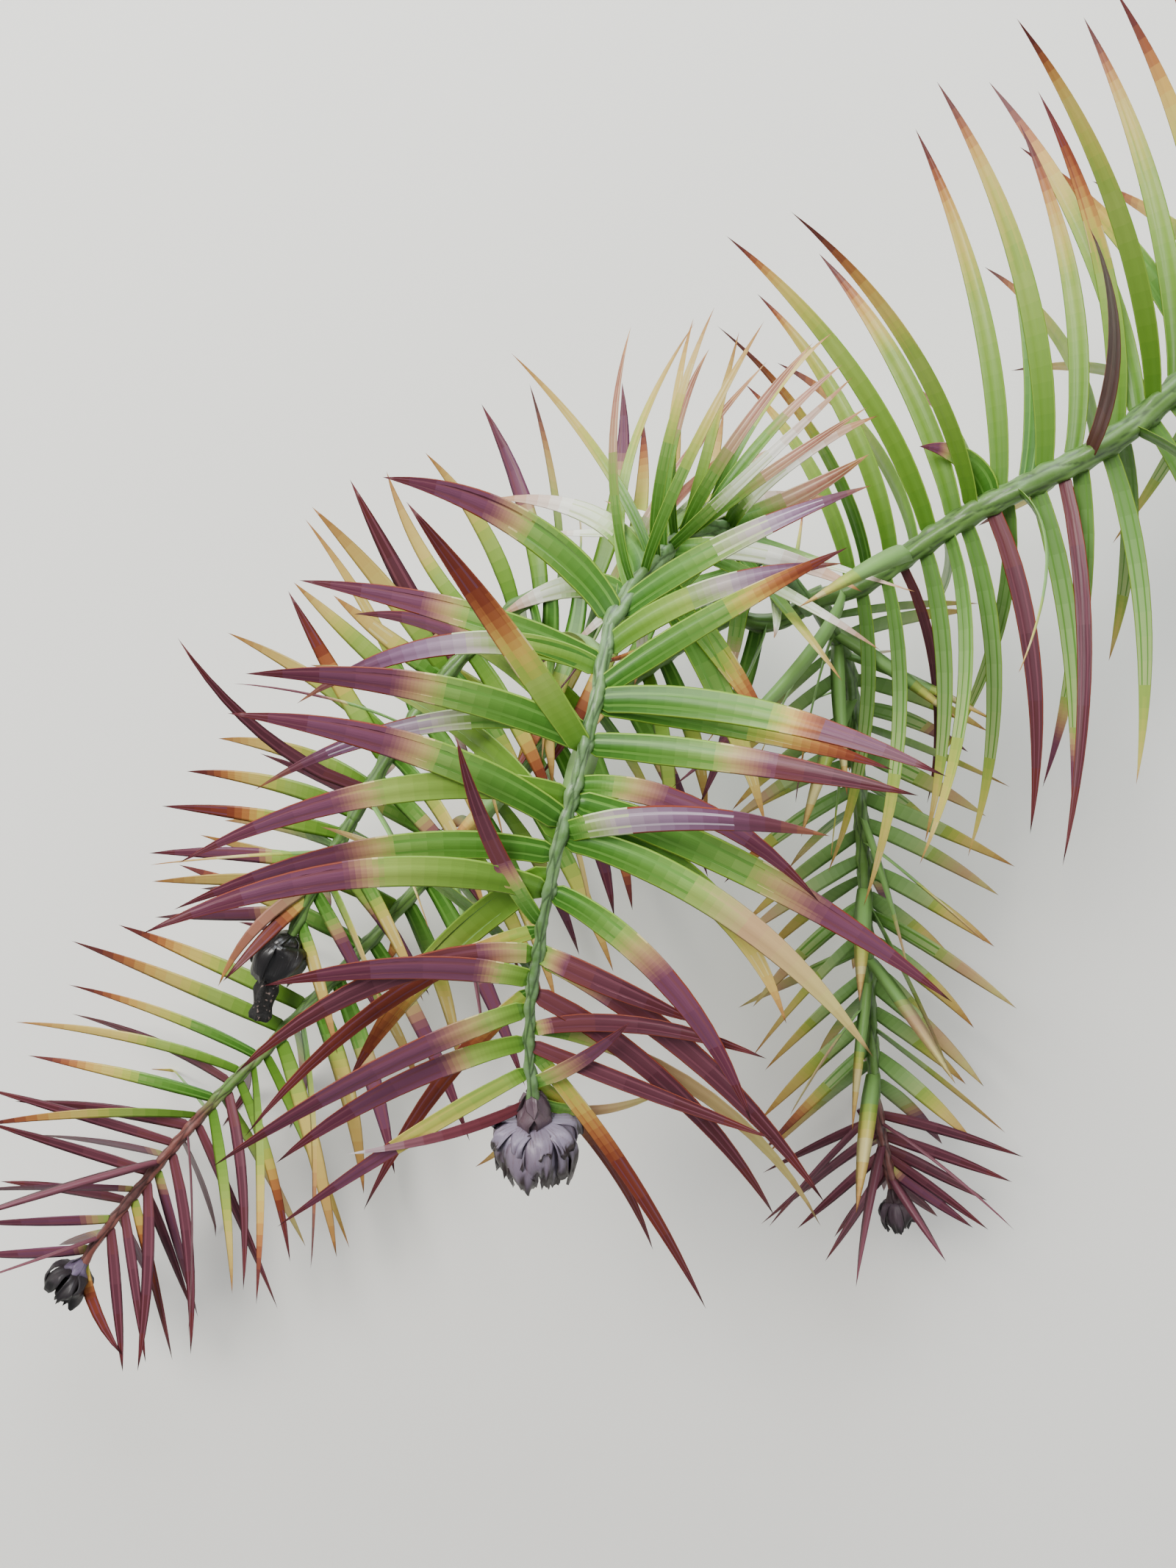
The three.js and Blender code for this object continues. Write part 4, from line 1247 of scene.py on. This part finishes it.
def cutMaterial():
    material, tree, shader = newMaterial("cutWood", {"Roughness": 0.7})
    depth = addReader(tree, "depth")
    ramp = addNode(tree, "ShaderNodeValToRGB")
    stops = ramp.color_ramp.elements
    stops[0].position, stops[0].color = 0, colour(*cutLook["pithColour"])
    stops[1].position, stops[1].color = 1, colour(*cutLook["bark"])
    for position, key in cutLook["marks"]:
        stop = stops.new(position)
        stop.color = colour(*cutLook[key])
    where = addNode(tree, "ShaderNodeTexCoord")
    grain = addNode(tree, "ShaderNodeTexNoise", {"Scale": 2600, "Detail": 3})
    bump = addNode(tree, "ShaderNodeBump", {"Strength": 0.4, "Distance": 0.0001})
    link(
        tree,
        (depth, "Fac", ramp, "Fac"), (ramp, "Color", shader, "Base Color"),
        (where, "Object", grain, "Vector"), (grain, "Fac", bump, "Height"),
        (bump, "Normal", shader, "Normal"),
    )
    return material


def makeCutStem():
    length, radius = cutStub["length"], cutStub["radius"]
    stem, shoot = stems["main_shoot"], shoots["main_shoot"]
    piece = addRod("cut_stem_bark", cutLook, radius, -length, 0)
    selectWhere(piece, "FACE", lambda face: face.normal.z < cutLook["facesDown"])
    for thickness in cutLook["rings"]:
        bpy.ops.mesh.inset(thickness=thickness * mm)
    bpy.ops.transform.translate(value=(0, 0, cutLook["pith"] * mm))
    bpy.ops.object.mode_set(mode="OBJECT")
    points = shapeArray(piece)
    across = np.hypot(points[:, 0], points[:, 1])
    rim = across > radius * cutLook["rimFrom"]
    azimuth = np.arctan2(points[:, 1], points[:, 0])
    bases = cutPads() + planLeaves("main_shoot")[:cutLook["basesFromShoot"]]
    radii = np.full(len(points), radius)
    height, seam, tint = padField(points[:, 2], azimuth, radii, bases, stem.total, cutStub["seed"])
    joined = shoot["radii"][0] * slimmer["main_shoot"]
    plain = lerp(joined, radius - cutLook["barkDeep"], -points[:, 2] / length)
    wide = (plain + height) * rim + across / radius * (radius - cutLook["woodIn"]) * ~rim
    points[:, 0], points[:, 1] = np.cos(azimuth) * wide, np.sin(azimuth) * wide
    cutSide = ~rim & (points[:, 2] < -length / 2)
    sawn = cutLook["sawn"]
    marks = points[cutSide, 0] * sawn["across"] + points[cutSide, 1] * sawn["along"]
    points[cutSide, 2] += sawn["deep"] * np.sin(marks)
    piece.data.materials.append(stemMaterials["bark"])
    piece.data.materials.append(cutMaterial())
    for face in piece.data.polygons:
        down = face.normal.z < cutLook["facesDown"]
        face.material_index = 1 if down else 0
        face.use_smooth = not down
    tangent, upward, leftward = (vector[0] for vector in stem.frameAt(0))
    placeAlong(piece, points, stem.pointAt(0)[0], tangent, upward, leftward)
    addAttribute(piece.data, "seam", "FLOAT", seam * rim)
    addAttribute(piece.data, "tint", "FLOAT", tint)
    addAttribute(piece.data, "depth", "FLOAT", across / radius)
    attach(piece, "root")
    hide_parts("cut_stem")


makeCutStem()
print("cut end made")

# Dry cones: whorls of curved papery scales on a core, with bracts round the neck
# Each look's light and shade are one scale colour as lit and in painted shade; the whorls' tone mixes between
# them.
coneLooks = {
    "lilac": {
        "light": (128, 119, 138), "shade": (90, 73, 86), "streak": (84, 58, 62), "tip": (32, 17, 16),
        "bract": (86, 67, 76), "rough": 0.5, "coat": 0.12,
    },
    "plum": {
        "light": (68, 50, 60), "shade": (44, 30, 38), "streak": (30, 20, 24), "tip": (21, 13, 13),
        "bract": (54, 33, 38), "rough": 0.6, "coat": 0.05,
    },
    # Its lilac bracts are a painted highlight round the neck of this nearly black cone
    "sooty": {
        "light": (42, 34, 40), "shade": (23, 17, 19), "streak": (16, 11, 12), "tip": (11, 8, 8),
        "bract": (98, 84, 110), "rough": 0.55, "coat": 0.08,
    },
    "pitch": {
        "light": (21, 17, 18), "shade": (12, 9, 10), "streak": (10, 8, 8), "tip": (8, 6, 6),
        "bract": (20, 16, 17), "rough": 0.34, "coat": 0.4,
    },
}
# A whorl's line is its scales' middle as shares of the cone's length and radius, base to tip
# A whorl's tone is painted shade, deeper on the inner whorls, and each scale adds a random spread to it.
whorlColumns = ("count", "line", "wide", "ragged", "bract", "tone")
cones = {
    "central_cone": {
        "ends": "central_shoot_front", "length": 17, "radius": 7.2, "seed": 21, "look": "lilac",
        "whorls": [
            (4, [(-0.12, 0.09), (0.04, 0.24), (0.18, 0.42), (0.33, 0.36)], 0.86, 0.15, 1, 0.2),
            (9, [(0.2, 0.3), (0.23, 0.82), (0.33, 1.02), (0.52, 1.09)], 0.5, 1, 0, 0),
            (8, [(0.22, 0.26), (0.25, 0.8), (0.44, 1.02), (0.73, 1.02)], 0.62, 1, 0, 0.05),
            (8, [(0.24, 0.24), (0.3, 0.76), (0.5, 0.97), (0.88, 0.9)], 0.72, 1, 0, 0.25),
            (8, [(0.28, 0.2), (0.4, 0.66), (0.66, 0.82), (0.93, 0.7)], 0.64, 1, 0, 0.5),
            (6, [(0.34, 0.1), (0.5, 0.46), (0.72, 0.5), (0.92, 0.4)], 0.6, 1, 0, 0.7),
        ],
    },
    "right_cone": {
        "ends": "right_tip", "length": 9, "radius": 4.3, "seed": 22, "look": "plum",
        "whorls": [
            (4, [(-0.12, 0.22), (0.1, 0.42), (0.26, 0.52), (0.42, 0.46)], 0.8, 0.3, 1, 0.5),
            (7, [(0.16, 0.3), (0.28, 0.78), (0.56, 1), (0.94, 0.8)], 0.7, 1, 0, 0.1),
            (5, [(0.3, 0.15), (0.45, 0.5), (0.7, 0.66), (1, 0.42)], 0.66, 1, 0, 0.6),
        ],
    },
    "lower_left_cone": {
        "ends": "lower_left_tip", "length": 10, "radius": 5, "seed": 23, "look": "sooty",
        "whorls": [
            (4, [(-0.1, 0.22), (0.08, 0.42), (0.2, 0.52), (0.34, 0.46)], 0.74, 0.3, 1, 0.5),
            (7, [(0.14, 0.3), (0.25, 0.8), (0.52, 1), (0.9, 0.82)], 0.74, 1, 0, 0.1),
            (5, [(0.3, 0.15), (0.45, 0.5), (0.7, 0.66), (1, 0.44)], 0.66, 1, 0, 0.6),
        ],
    },
    "upper_left_cone": {
        "ends": "upper_left_tip", "length": 10.5, "radius": 5.4, "seed": 24, "look": "pitch",
        "whorls": [
            (4, [(-0.08, 0.24), (0.04, 0.6), (0.28, 0.86), (0.5, 0.84)], 1.1, 0.5, 1, 0.5),
            (5, [(0.06, 0.3), (0.13, 0.9), (0.45, 1.04), (0.94, 0.94)], 1.3, 0.6, 0, 0.1),
            (4, [(0.3, 0.15), (0.45, 0.5), (0.7, 0.66), (1, 0.46)], 0.74, 1, 0, 0.6),
        ],
    },
}
scaleMesh = {
    "columns": 9, "rows": 11, "thick": 0.32,
    "shape": [(0, 0.5), (0.2, 0.8), (0.45, 1), (0.72, 1), (0.88, 0.9), (1, 0.62)],
    "crinkle": 0.4, "fold": 0.6, "lengthVaries": 0.09, "radiusVaries": 0.14, "notch": 1.5, "wander": 0.5,
    "widthVaries": 0.4, "slant": 0.9, "curl": 0.9, "edgeWave": 0.16, "waves": 4, "fullSize": 6,
    "lateFrom": 0.55, "cupped": 0.5, "thinTip": 0.4, "thinEdge": 0.5,
    # darkInside paints shade on the scales' inner faces, which show in the gaps between scales; darkFrom,
    # fray and darkOver give the scales' own dark tips.
    "darkFrom": (0.56, 0.84), "fray": 0.2, "darkOver": 0.12, "darkEdge": 0.7, "darkInside": 0.85,
    # coreDark is painted shade on the core, which shows in the gaps between scales.
    "toneVaries": 0.6, "coreSides": 16, "coreDark": 0.75,
    "neck": [(-0.04, 0.9), (0.06, 1)], "core": [(0.3, 0.42), (0.6, 0.5), (0.82, 0.3)],
}


def coneMaterial(name):
    look = coneLooks[name]
    material, tree, shader = newMaterial("cone_" + name, {
        "Roughness": look["rough"], "Coat Weight": look["coat"], "Coat Roughness": 0.25,
    })
    tone, dark, bract, face = (addReader(tree, field) for field in ("tone", "dark", "bract", "face"))
    stretch = addNode(tree, "ShaderNodeVectorMath", {1: (2.2, 0.5, 5.1)}, operation="MULTIPLY")
    fibres = addNode(tree, "ShaderNodeTexNoise", {"Scale": 1.1, "Detail": 4})
    streaks = addNode(tree, "ShaderNodeMapRange", {"From Min": 0.55, "From Max": 0.78, "To Max": 0.8})
    # Painted shade: tone mixes the scales from the light colour towards the shade colour
    paperyShaded = addMix(tree, A=look["light"], B=look["shade"])
    # The tip colour, mixed in by the dark field, gives the scales' own dark tips and also paints shade on
    # their inner faces, on the core and along their margins.
    bracted, streaked, tipsAndShade = (addMix(tree, B=look[part]) for part in ("bract", "streak", "tip"))
    bump = addNode(tree, "ShaderNodeBump", {"Strength": 0.5, "Distance": 0.0003})
    link(
        tree,
        (face, "Vector", stretch, 0), (stretch, "Vector", fibres, "Vector"),
        (fibres, "Fac", streaks, "Value"), (tone, "Fac", paperyShaded, "Factor"),
        (paperyShaded, "Result", bracted, "A"), (bract, "Fac", bracted, "Factor"),
        (bracted, "Result", streaked, "A"), (streaks, "Result", streaked, "Factor"),
        (streaked, "Result", tipsAndShade, "A"), (dark, "Fac", tipsAndShade, "Factor"),
        (tipsAndShade, "Result", shader, "Base Color"),
        (fibres, "Fac", bump, "Height"), (bump, "Normal", shader, "Normal"),
    )
    return material


coneMaterials = {name: coneMaterial(name) for name in coneLooks}


# One scale in the cone's own axes: a closed, keeled and crumpled plate with a ragged tip
def scaleArrays(cone, whorl, angle, number, random):
    columns, rows = scaleMesh["columns"], scaleMesh["rows"]
    v = np.linspace(0, 1, rows)
    across = np.linspace(-1, 1, columns)
    line = np.array([(high, out, 0) for high, out in whorl["line"]]) * (cone["length"], cone["radius"], 0)
    line[-1, 0] += (random() - 0.7) * 2 * scaleMesh["lengthVaries"] * cone["length"] * whorl["ragged"]
    line[1:, 1] *= 1 + (random() - 0.6) * scaleMesh["radiusVaries"]
    path = throughPoints(line, v)
    shape = np.array(scaleMesh["shape"])
    wide = whorl["wide"] * cone["radius"] / 2 * (1 + (random() - 0.5) * scaleMesh["widthVaries"])
    half = np.interp(v, shape[:, 0], shape[:, 1]) * wide
    slant = (random() - 0.5) * scaleMesh["slant"]
    keel = random() * scaleMesh["fold"]
    curl = (random() - 0.5) * scaleMesh["curl"]
    drift = (random() - 0.5) * 2 * scaleMesh["wander"] * wide * whorl["ragged"]
    edges = [(3 + random() * 5, random() * 6) for side in range(2)]
    turnedOut = np.array([math.cos(angle), math.sin(angle), 0])
    sideways = np.array([-math.sin(angle), math.cos(angle), 0])
    axis = np.array([0, 0, 1])
    notches = np.array([random() for k in range(columns)])
    waves = [
        (1 + random() * 4, 2 + random() * 6, random() * 6, random() * 6)
        for k in range(scaleMesh["waves"])
    ]
    size = min(1, cone["radius"] / scaleMesh["fullSize"])
    outer, inner = [], []
    for j in range(rows):
        high, out = path[j, 0], path[j, 1]
        late = smooth(scaleMesh["lateFrom"], 1, v[j])
        wavy = np.where(across < 0, *(np.sin(climb * v[j] + start) for climb, start in edges))
        x = across * half[j] * (1 + scaleMesh["edgeWave"] * whorl["ragged"] * wavy) + drift * v[j] ** 2
        cupped = -scaleMesh["cupped"] * x ** 2 / (out + 0.9) - keel * np.abs(across) * size
        cupped = cupped + curl * across * late * size
        crinkle = sum(np.sin(a * across + c) * np.sin(b * v[j] + d) for a, b, c, d in waves)
        crinkle = crinkle * scaleMesh["crinkle"] * size * smooth(0, 0.4, v[j])
        lift = high - late ** 2 * whorl["ragged"] * notches * scaleMesh["notch"] * size + slant * x * v[j]
        top = np.outer(out + cupped + crinkle, turnedOut) + np.outer(x, sideways) + np.outer(lift, axis)
        thick = scaleMesh["thick"] * (1 - scaleMesh["thinTip"] * late)
        thick = thick * (1 - scaleMesh["thinEdge"] * np.abs(across) ** 2)
        outer.append(top)
        inner.append(top - np.outer(thick, turnedOut))
    points = np.vstack(outer + inner)

    def corner(side, j, k):
        return (side * rows + j) * columns + k

    faces = []
    last, end = columns - 1, rows - 1
    for j in range(rows - 1):
        for k in range(columns - 1):
            faces.append((corner(0, j, k), corner(0, j, k + 1), corner(0, j + 1, k + 1), corner(0, j + 1, k)))
            faces.append((corner(1, j, k), corner(1, j + 1, k), corner(1, j + 1, k + 1), corner(1, j, k + 1)))
        faces.append((corner(0, j, 0), corner(0, j + 1, 0), corner(1, j + 1, 0), corner(1, j, 0)))
        faces.append((corner(0, j, last), corner(1, j, last), corner(1, j + 1, last), corner(0, j + 1, last)))
    for k in range(columns - 1):
        faces.append((corner(0, 0, k), corner(1, 0, k), corner(1, 0, k + 1), corner(0, 0, k + 1)))
        faces.append((corner(0, end, k), corner(0, end, k + 1), corner(1, end, k + 1), corner(1, end, k)))
    depth = np.repeat(v, columns)
    sideShare = np.tile(np.abs(across), rows)
    spread = lerp(*scaleMesh["darkFrom"], random()) - 0.2 * whorl["tone"]
    frayed = depth + scaleMesh["fray"] * (np.tile(notches, rows) - 0.5)
    darkness = smooth(spread, spread + scaleMesh["darkOver"], frayed) * min(whorl["ragged"] + 0.2, 1)
    # Darker towards the scales' side margins: partly their own dark margins, partly painted shade where the
    # scales overlap.
    edging = scaleMesh["darkEdge"] * smooth(0.75, 1, sideShare) * smooth(0.2, 0.8, depth)
    darkness = np.maximum(darkness, edging)
    # The inner faces get painted shade, as they lie in the gaps between scales
    dark = np.concatenate([darkness, np.maximum(darkness, scaleMesh["darkInside"])])
    # Painted shade by whorl depth, with a random spread between scales
    tone = np.full(len(points), min(1, whorl["tone"] + random() * scaleMesh["toneVaries"]))
    coordinates = np.stack([
        np.tile(across * wide, rows), depth * cone["length"] / 2, np.full(rows * columns, number),
    ], axis=1)
    return points, faces, dark, tone, np.vstack([coordinates, coordinates])


# The cone's core: a spindle from the neck to inside the tips
def coreArrays(cone, neck):
    sides = scaleMesh["coreSides"]
    profile = [(high, neck * wide) for high, wide in scaleMesh["neck"]]
    profile += [(high, wide * cone["radius"]) for high, wide in scaleMesh["core"]]
    points = []
    for high, wide in profile:
        for k in range(sides):
            turned = k / sides * 2 * math.pi
            points.append((math.cos(turned) * wide, math.sin(turned) * wide, high * cone["length"]))
    return np.array(points), tubeFaces(len(profile), sides)


def growCone(name):
    cone = cones[name]
    stem, shoot = stems[cone["ends"]], shoots[cone["ends"]]
    random = seeded(cone["seed"])
    points, faces = coreArrays(cone, shoot["radii"][1])
    fields = {
        # The core is painted in shade, as it shows in the gaps between scales
        "dark": [np.full(len(points), scaleMesh["coreDark"])],
        "tone": [np.zeros(len(points))],
        "bract": [np.zeros(len(points))],
    }
    where = [points]
    parts, start, number = [points], len(points), 0
    for row in cone["whorls"]:
        whorl = dict(zip(whorlColumns, row))
        first = random() * math.pi
        for k in range(whorl["count"]):
            angle = first + (k + (random() - 0.5) * 0.3) / whorl["count"] * 2 * math.pi
            number += 1
            made, scaleFaces, dark, tone, face = scaleArrays(cone, whorl, angle, number, random)
            parts.append(made)
            faces += [tuple(start + corner for corner in scaleFace) for scaleFace in scaleFaces]
            start += len(made)
            fields["dark"].append(dark)
            fields["tone"].append(tone)
            fields["bract"].append(np.full(len(made), float(whorl["bract"])))
            where.append(face)
    tangent, upward, leftward = (vector[0] for vector in stem.frameAt(1))
    end = stem.pointAt(1)[0] + tangent * clearance
    placed = stoodAlong(np.vstack(parts), end, tangent, upward, leftward)
    piece = addPiece(name + "_scales", placed, faces, name)
    piece.data.materials.append(coneMaterials[cone["look"]])
    for field, values in fields.items():
        addAttribute(piece.data, field, "FLOAT", np.concatenate(values))
    addAttribute(piece.data, "face", "FLOAT_VECTOR", np.vstack(where))
    print(name, len(faces), "faces")


for name in cones:
    growCone(name)

# Dead stub: a charred-looking scrap of stem below the old cone, with pale specks
stubLook = {
    "length": 9, "radius": 2.4, "way": (-0.26, -0.96, -0.1), "sunk": 2.6, "sides": 20, "cuts": 15, "seed": 8,
    "profile": [(0, 0.7), (0.3, 1), (0.5, 0.92), (0.7, 0.8), (0.9, 0.95), (1, 0.8)],
    "rim": 0.5, "hollow": 0.3, "floor": 0.8, "waves": 9, "waveDeep": 0.3,
    "bark": (14, 11, 10), "speck": (112, 96, 90),
}


def stubMaterial():
    material, tree, shader = newMaterial("deadBark", {"Roughness": 0.75})
    where = addNode(tree, "ShaderNodeTexCoord")
    flecks = addNode(tree, "ShaderNodeTexNoise", {"Scale": 1100, "Detail": 2})
    fleckEdge = addNode(tree, "ShaderNodeMapRange", {"From Min": 0.63, "From Max": 0.66})
    crust = addNode(tree, "ShaderNodeTexNoise", {"Scale": 1100, "Detail": 4})
    mixed = addMix(tree, A=stubLook["bark"], B=stubLook["speck"])
    bump = addNode(tree, "ShaderNodeBump", {"Strength": 0.9, "Distance": 0.0005})
    link(
        tree,
        (where, "Object", flecks, "Vector"), (where, "Object", crust, "Vector"),
        (flecks, "Fac", fleckEdge, "Value"), (fleckEdge, "Result", mixed, "Factor"),
        (mixed, "Result", shader, "Base Color"),
        (crust, "Fac", bump, "Height"), (bump, "Normal", shader, "Normal"),
    )
    return material


def makeStub():
    length = stubLook["length"]
    piece = addRod("dead_stub_bark", stubLook, stubLook["radius"], -stubLook["sunk"], length)
    selectWhere(piece, "FACE", lambda face: abs(face.normal.z) > 0.9)
    bpy.ops.mesh.inset(thickness=stubLook["rim"] * mm)
    bpy.ops.transform.translate(value=(0, 0, -stubLook["hollow"] * mm))
    bpy.ops.mesh.inset(thickness=stubLook["floor"] * mm)
    bpy.ops.object.mode_set(mode="OBJECT")
    points = shapeArray(piece)
    share = np.clip(points[:, 2] / length, 0, 1)
    profile = np.array(stubLook["profile"])
    wide = np.interp(share, profile[:, 0], profile[:, 1])
    azimuth = np.arctan2(points[:, 1], points[:, 0])
    random = seeded(stubLook["seed"])
    for k in range(stubLook["waves"]):
        turns, climbs, start = 1 + int(random() * 6), random() * 14, random() * 6
        wave = np.sin(azimuth * turns + share * climbs + start)
        wide = wide + (random() - 0.5) * stubLook["waveDeep"] * wave
    points[:, :2] *= wide[:, None]
    cone = cones["upper_left_cone"]
    stem = stems[cone["ends"]]
    tangent, upward, leftward = (vector[0] for vector in stem.frameAt(1))
    way = unit(np.array(stubLook["way"]))
    sideways = unit(leftward - way * (leftward @ way))
    top = stem.pointAt(1)[0] + tangent * (cone["length"] + 2 * clearance)
    placeAlong(piece, points, top, way, np.cross(sideways, way), sideways)
    piece.data.shade_smooth()
    piece.data.materials.append(stubMaterial())
    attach(piece, "root")
    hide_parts("dead_stub")


makeStub()
print("cones and stub made")
